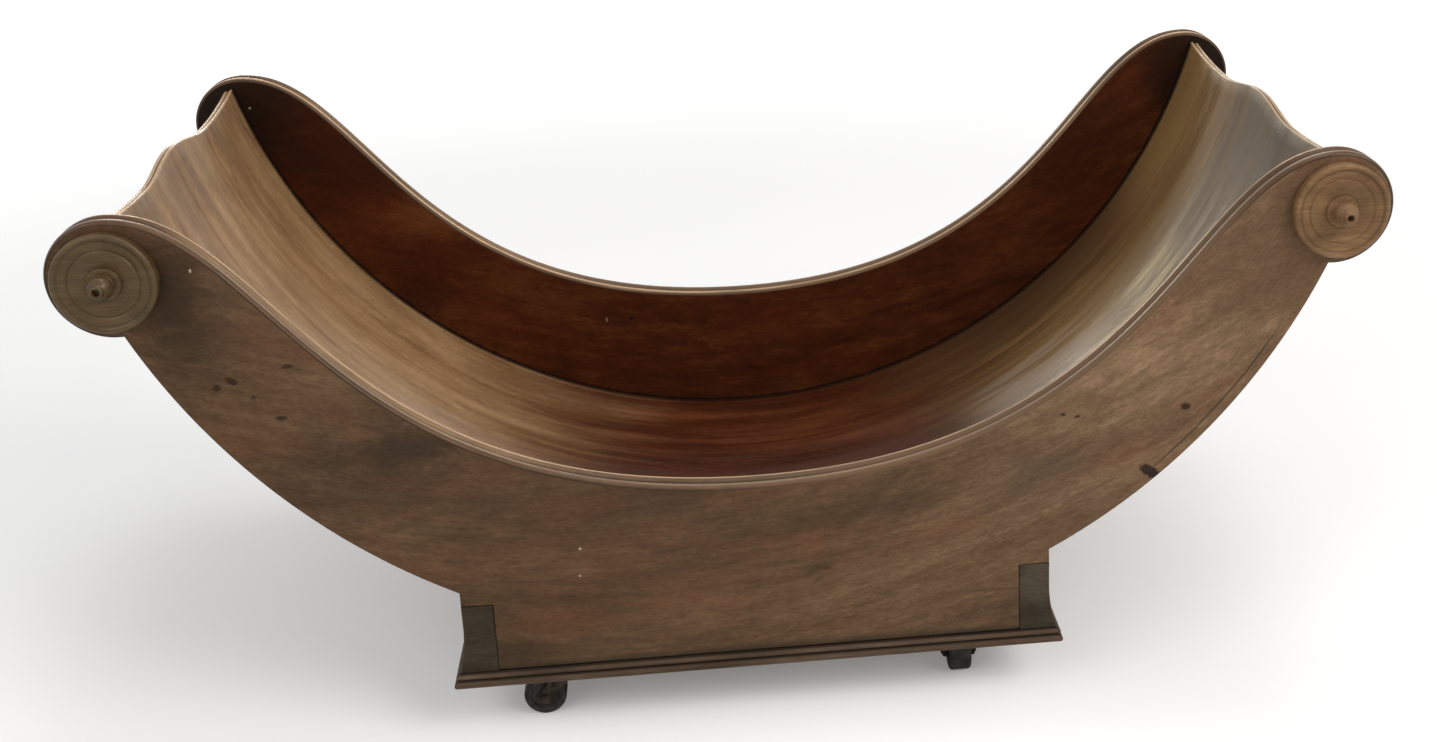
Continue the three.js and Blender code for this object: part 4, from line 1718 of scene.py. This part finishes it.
@dataclass
class PhotoCamera:
    """The photograph's camera, found from the coaster's outline.

    Its place is in millimetres, and the nearest and farthest that it sees are in metres.
    """

    place: Triple = (-11.97, -644.04, 363.82)
    azimuth: float = 5.4276
    elevation: float = 18.5361
    roll: float = 1.6056
    lens: float = 44.182
    sensor: float = 36.0
    shift_x: float = -0.1006
    shift_y: float = -0.1006
    nearest: float = 0.01
    farthest: float = 50.0

    def build(self) -> None:
        """Make the camera and look through it."""
        azimuth, elevation, roll = (math.radians(a) for a in (self.azimuth, self.elevation, self.roll))
        level = math.cos(elevation)
        forward = Vector((math.sin(azimuth) * level, math.cos(azimuth) * level, -math.sin(elevation)))
        right = forward.cross(Vector((0, 0, 1))).normalized()
        down = forward.cross(right)
        across = right * math.cos(roll) + down * math.sin(roll)
        up = right * math.sin(roll) - down * math.cos(roll)
        data = bpy.data.cameras.new("photo_camera")
        data.lens = self.lens
        data.sensor_width = self.sensor
        data.shift_x = self.shift_x
        data.shift_y = self.shift_y
        data.clip_start = self.nearest
        data.clip_end = self.farthest
        camera = bpy.data.objects.new("photo_camera", data)
        bpy.context.scene.collection.objects.link(camera)
        turn = Matrix((across, up, -forward)).transposed().to_4x4()
        camera.matrix_world = Matrix.Translation(Vector(self.place) * MM) @ turn
        bpy.context.scene.camera = camera


@dataclass
class Softbox:
    """A rectangular lamp aimed at a point."""

    name: str
    place: Triple
    target: Triple
    width: float
    height: float
    power: float
    tint: Triple = (1.0, 1.0, 1.0)
    lights_floor: bool = True

    def build(self, floor: bpy.types.Object) -> None:
        """Make the lamp; the camera doesn't see it.

        Args:
            floor: The floor, which a window lamp doesn't light.
        """
        data = bpy.data.lights.new(self.name, "AREA")
        data.shape = "RECTANGLE"
        data.size = self.width * MM
        data.size_y = self.height * MM
        data.energy = self.power
        data.color = self.tint
        lamp = bpy.data.objects.new(self.name, data)
        bpy.context.scene.collection.objects.link(lamp)
        aim = Vector(self.target) - Vector(self.place)
        turn = aim.to_track_quat("-Z", "Y").to_matrix().to_4x4()
        lamp.matrix_world = Matrix.Translation(Vector(self.place) * MM) @ turn
        lamp.visible_camera = False
        if not self.lights_floor:
            unlit = bpy.data.collections.new(f"{self.name}_unlit")
            unlit.objects.link(floor)
            lamp.light_linking.receiver_collection = unlit
            unlit.collection_objects[0].light_linking.link_state = "EXCLUDE"


@dataclass
class Studio:
    """White floor, white surroundings and soft lamps.

    The floor's own light to the camera is its lift out to the plain distance, and full at the white one.
    """

    floor_half: float = 4000.0
    floor_lift: float = 0.16
    floor_plain: float = 450.0
    floor_white: float = 1600.0
    surround: float = 0.45

    def floor(self) -> bpy.types.Object:
        """A pale floor under the rollers, a little brighter to the camera and white in the distance.

        Returns:
            The floor.
        """
        half = self.floor_half
        square = ((-half, -half), (half, -half), (half, half), (-half, half))
        corners = [Vector((*corner, 0)) for corner in square]
        sketch = Sketch(bpy.data.materials.new("white_floor"))
        distance = sketch.length(sketch.object_place())
        lift = sketch.span(distance, self.floor_plain, self.floor_white, self.floor_lift, 1)
        seen = sketch.node("LightPath").outputs["Is Camera Ray"]
        glow = {"Emission Color": (1, 1, 1, 1), "Emission Strength": sketch.times(seen, lift)}
        white = sketch.done(tone(250, 250, 250), 0.9, {"Specular IOR Level": 0, **glow})
        floor = Skin(corners, [(0, 1, 2, 3)], corners, [0]).build("floor", [white])
        return floor

    def surroundings(self) -> None:
        """Even light from all round, white where the camera, a gloss or a glass sees it."""
        world = bpy.data.worlds.new("white_surroundings")
        bpy.context.scene.world = world
        sketch = Sketch(world)
        path = sketch.node("LightPath")
        seen = path.outputs["Is Camera Ray"]
        for ray in ("Is Glossy Ray", "Is Transmission Ray"):
            seen = sketch.math("MAXIMUM", seen, path.outputs[ray])
        strength = sketch.node("MapRange", {"Value": seen, "To Min": self.surround, "To Max": 1})
        background = world.node_tree.nodes["Background"]
        sketch.put(background, {"Color": (1, 1, 1, 1), "Strength": strength.outputs["Result"]})

    def build(self) -> None:
        """Make floor, surroundings and lamps."""
        floor = self.floor()
        self.surroundings()
        lamps = (
            Softbox("key", (900, -750, 1000), (0, 0, 80), 800, 800, 10, (1.0, 0.97, 0.93)),
            Softbox("fill", (-800, -800, 900), (0, 0, 80), 900, 900, 4.5),
            Softbox("overhead", (250, 150, 1400), (0, 0, 60), 600, 500, 3.5),
            Softbox("window_left", (-500, 1350, 455), (140, 0, 100), 350, 300, 2.5, (1.0, 0.93, 0.78), False),
            Softbox("window_right", (430, 1380, 640), (-80, 0, 60), 420, 240, 1.6, (1.0, 0.93, 0.8), False),
        )
        for lamp in lamps:
            lamp.build(floor)
        bpy.context.scene.view_settings.view_transform = "Standard"


# Finishes of this coaster.


# dark stain colour, also used for a painted shadow beside the left roundel
DARK_STAIN_AND_SHADE = tone(50, 39, 27)
RED_STAIN = tone(108, 66, 44)
KNOT = tone(44, 26, 17)
CHIP = tone(28, 22, 18)
WHITE_SPECK = tone(190, 175, 150)


def knot(centre: Point, size: Point, share: float = 0.95, turn: float = 0.0, fray: float = 0.8) -> Blot:
    """A small dark knot with a firm edge."""
    return Blot(centre, size, KNOT, share, turn, fray, core=0.4)


def speck(centre: Point, share: float, size: Point = (0.8, 0.8)) -> Blot:
    """A white speck."""
    return Blot(centre, size, WHITE_SPECK, share, fray=0.2)


FRONT_FACE = FaceWood(
    "faded_mahogany_front",
    (tone(60, 43, 28), tone(84, 62, 43), tone(107, 83, 60)),
    red=tone(104, 66, 47),
    pore=tone(48, 33, 21),
    grain_centre=(-40, 480),
    figure_turn=-6,
    figure_length=34,
    shares=(0.34, 0.22, 0.12, 0.32),
    fleck_size=(1.5, 1.5, 0.7),
    # lighter towards the right: partly the wood's own tone, partly painted light falling from the right
    stretches=(Stretch(10, 180, (tone(86, 65, 47), tone(116, 91, 68), tone(148, 120, 92))),),
    blots=(
        Blot((-112, 112), (38, 12), DARK_STAIN_AND_SHADE, 0.85, turn=4),
        Blot((-124, 104), (64, 36), DARK_STAIN_AND_SHADE, 0.5),
        # painted shadow of the left roundel on the face, with some dirt
        Blot((-176, 158), (20, 26), DARK_STAIN_AND_SHADE, 0.5),
        Blot((-182, 170), (16, 27), tone(40, 28, 16), 0.8, fray=0.9, core=0.2),
        Blot((-60, 95), (50, 34), DARK_STAIN_AND_SHADE, 0.3),
        Blot((180, 158), (56, 44), tone(92, 67, 48), 0.75),
        Blot((-88, 31), (22, 9), DARK_STAIN_AND_SHADE, 0.7),
        Blot((92, 33), (14, 10), DARK_STAIN_AND_SHADE, 0.5),
        Blot((20, 56), (9, 2.6), DARK_STAIN_AND_SHADE, 0.7),
        Blot((19, 65), (8, 7), RED_STAIN, 0.4),
        Blot((98, 85), (34, 17), tone(84, 68, 56), 0.45),
        Blot((-66, 42), (26, 9), RED_STAIN, 0.35),
        Blot((-30, 47), (24, 6), RED_STAIN, 0.3),
        Blot((-166, 118), (26, 14), RED_STAIN, 0.25),
        Blot((85, 42), (26, 0.9), DARK_STAIN_AND_SHADE, 0.45, fray=0.3),
        knot((150, 108), (2.4, 1.9), fray=0.6),
        Blot((138, 84), (5.5, 2.3), CHIP, 0.95, turn=-34, fray=1.0, core=0.6),
        knot((107, 108), (1.4, 0.9), 0.9, fray=0.6),
        knot((112, 107), (1.3, 0.8), 0.9, fray=0.6),
        knot((-167, 140), (2.8, 1.7), turn=-30),
        knot((-172, 138), (1.9, 1.5)),
        knot((-149, 144), (2.4, 1.2), 0.85),
        knot((-161, 134), (1.3, 0.8), 0.8),
        knot((-153, 126), (2.6, 1.2), 0.9),
        speck((-60.5, 70.2), 0.7),
        speck((-61.3, 59.8), 0.55),
        speck((-174.6, 178.6), 0.8, (0.6, 1.0)),
    ),
)
REAR_FACE = Wood(
    "faded_mahogany_rear",
    (tone(68, 49, 31), tone(96, 72, 49), tone(122, 96, 68)),
    red=tone(108, 70, 46),
    pore=tone(48, 33, 21),
    grain_centre=(40, 480),
    figure_turn=6,
    figure_length=34,
    shares=(0.34, 0.22, 0.12, 0.32),
    fleck_size=(1.5, 1.5, 0.7),
    seed=40,
)
INSIDE = InsideWood(
    "dark_mahogany_inside",
    (tone(50, 20, 9), tone(72, 34, 15), tone(98, 54, 26)),
    red=tone(80, 30, 13),
    pore=tone(34, 13, 6),
    gloss=(0.42, 0.6),
    grain_centre=(40, 480),
    figure_turn=-8,
    figure_length=40,
    shares=(0.4, 0.14, 0.08, 0.38),
    fleck_size=(1.3, 1.3, 0.8),
    pore_share=0.25,
    shine=0.12,
    seed=80,
    blots=(
        # painted shade on the inner face beyond the trough board's ends
        Blot((-204, 180), (50, 44), tone(28, 15, 9), 0.95, fray=0.7, core=0.3),
        Blot((207, 180), (36, 36), tone(32, 18, 11), 0.9, fray=0.7, core=0.4),
        Blot((-165, 160), (50, 36), tone(44, 17, 8), 0.7),
        Blot((-136, 99), (26, 20), tone(48, 19, 9), 0.6),
        Blot((-124, 133), (34, 18), tone(110, 66, 34), 0.5),
        Blot((150, 150), (50, 36), tone(44, 19, 9), 0.6),
        Blot((-46, 80), (1.8, 1.3), tone(30, 10, 6), 0.9, fray=0.3),
        speck((-57, 80), 0.5, (0.5, 1.6)),
        speck((-197, 184), 0.8, (0.7, 0.7)),
    ),
)
RIM = RimWood(
    "polished_rim",
    (tone(56, 38, 25), tone(80, 57, 39), tone(104, 78, 56)),
    red=tone(88, 55, 38),
    pore=tone(40, 27, 19),
    gloss=(0.26, 0.42),
    carried_grain=True,
    shine=0.3,
    seed=120,
)
TROUGH = TroughWood(
    "polished_trough",
    (tone(50, 22, 10), tone(71, 34, 17), tone(100, 55, 30)),
    red=tone(80, 33, 16),
    pore=tone(38, 18, 10),
    gloss=(0.22, 0.42),
    carried_grain=True,
    figure_length=210,
    figure_width=9,
    streak_width=2.2,
    red_share=0.25,
    pore_share=0.25,
    fleck_share=0.12,
    fleck_size=(3.0, 1.2, 1.2),
    wax_size=(120.0, 20.0, 14.0),
    shares=(0.4, 0.36, 0.1, 0.14),
    shine=0.3,
    seed=160,
    # tan on the left and olive on the right: partly the wood's own tone, partly painted light and sheen
    stretches=(
        Stretch(-30, -140, (tone(120, 84, 55), tone(150, 116, 80), tone(178, 144, 106))),
        Stretch(-235, -285, (tone(100, 76, 50), tone(130, 101, 71), tone(156, 126, 92))),
        Stretch(55, 160, (tone(68, 50, 30), tone(102, 80, 49), tone(134, 110, 72))),
    ),
)
MOULDING = MouldingWood(
    "dark_moulding",
    (tone(52, 41, 32), tone(78, 62, 49), tone(100, 81, 64)),
    red=tone(84, 57, 45),
    pore=tone(40, 29, 22),
    gloss=(0.42, 0.56),
    carried_grain=True,
    seed=200,
)
END_GRAIN = Wood(
    "dark_end_grain",
    (tone(40, 34, 27), tone(51, 45, 36), tone(64, 57, 46)),
    red=tone(52, 43, 34),
    pore=tone(32, 27, 20),
    gloss=(0.6, 0.75),
    figure_length=16,
    figure_width=10,
    streak_width=6,
    shine=0.15,
    seed=240,
    blots=(Blot((98, 46), (14, 16), tone(82, 73, 62), 0.7),),
)
PLINTH_SIDE = Wood(
    "faded_plinth_side",
    (tone(58, 43, 30), tone(80, 61, 44), tone(102, 81, 60)),
    red=tone(94, 60, 43),
    pore=tone(42, 30, 21),
    figure_length=34,
    shares=(0.34, 0.22, 0.1, 0.34),
    fleck_size=(1.5, 1.5, 0.7),
    seed=260,
)
RAW_WOOD = Wood(
    "raw_base_wood",
    (tone(84, 66, 44), tone(112, 90, 62), tone(132, 110, 80)),
    red=tone(110, 80, 54),
    pore=tone(58, 44, 30),
    gloss=(0.7, 0.85),
    shine=0.15,
    seed=280,
)
LEFT_ROUNDEL = TurnedWood(
    "olive_roundel",
    (tone(58, 43, 25), tone(76, 58, 35), tone(96, 77, 50)),
    red=tone(80, 56, 35),
    pore=tone(42, 31, 19),
    gloss=(0.24, 0.4),
    figure_length=20,
    shine=0.4,
    seed=320,
)
RIGHT_ROUNDEL = TurnedWood(
    "tan_roundel",
    (tone(92, 66, 42), tone(116, 87, 58), tone(138, 108, 76)),
    red=tone(120, 82, 54),
    pore=tone(72, 50, 33),
    gloss=(0.4, 0.54),
    figure_length=20,
    shine=0.3,
    seed=360,
)
BRASS = Metal("tarnished_brass", tone(58, 47, 30), tone(30, 25, 18), 0.5, 0.6)
ROLLER_METAL = Metal("dirty_roller", tone(38, 33, 23), tone(23, 20, 15), 0.55, 0.2, 9)
STEEL = Metal("dull_steel", tone(92, 88, 82), tone(52, 48, 44), 0.42, 0.9, 17)

CASTOR_SWIVELS = {"front_left": 0.0, "front_right": -90.0, "rear_left": 0.0, "rear_right": 0.0}


def main() -> None:
    """Build every piece in order."""
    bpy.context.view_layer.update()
    PhotoCamera().build()
    Studio().build()
    rim, inside = RIM.material(), INSIDE.material()
    for depth, side, face in (("front", -1, FRONT_FACE), ("rear", 1, REAR_FACE)):
        SidePanel(depth, side, (face.material(), rim, inside)).build()
    TroughBoard(TROUGH.material()).build()
    Plinth(MOULDING.material(), END_GRAIN.material(), PLINTH_SIDE.material(), RAW_WOOD.material()).build()
    roundel_woods = {-1: LEFT_ROUNDEL.material(), 1: RIGHT_ROUNDEL.material()}
    for side_y, depth in ((-1, "front"), (1, "rear")):
        for side_x, hand in ((-1, "left"), (1, "right")):
            Roundel(f"{depth}_{hand}", side_x, side_y, roundel_woods[side_x]).build()
    brass, roller_metal, steel = BRASS.material(), ROLLER_METAL.material(), STEEL.material()
    for corner, swivel in CASTOR_SWIVELS.items():
        Castor(corner, swivel, brass, roller_metal, steel).build()


if __name__ == "__main__":
    logging.basicConfig(level=logging.INFO, format="%(name)s %(message)s")
    main()
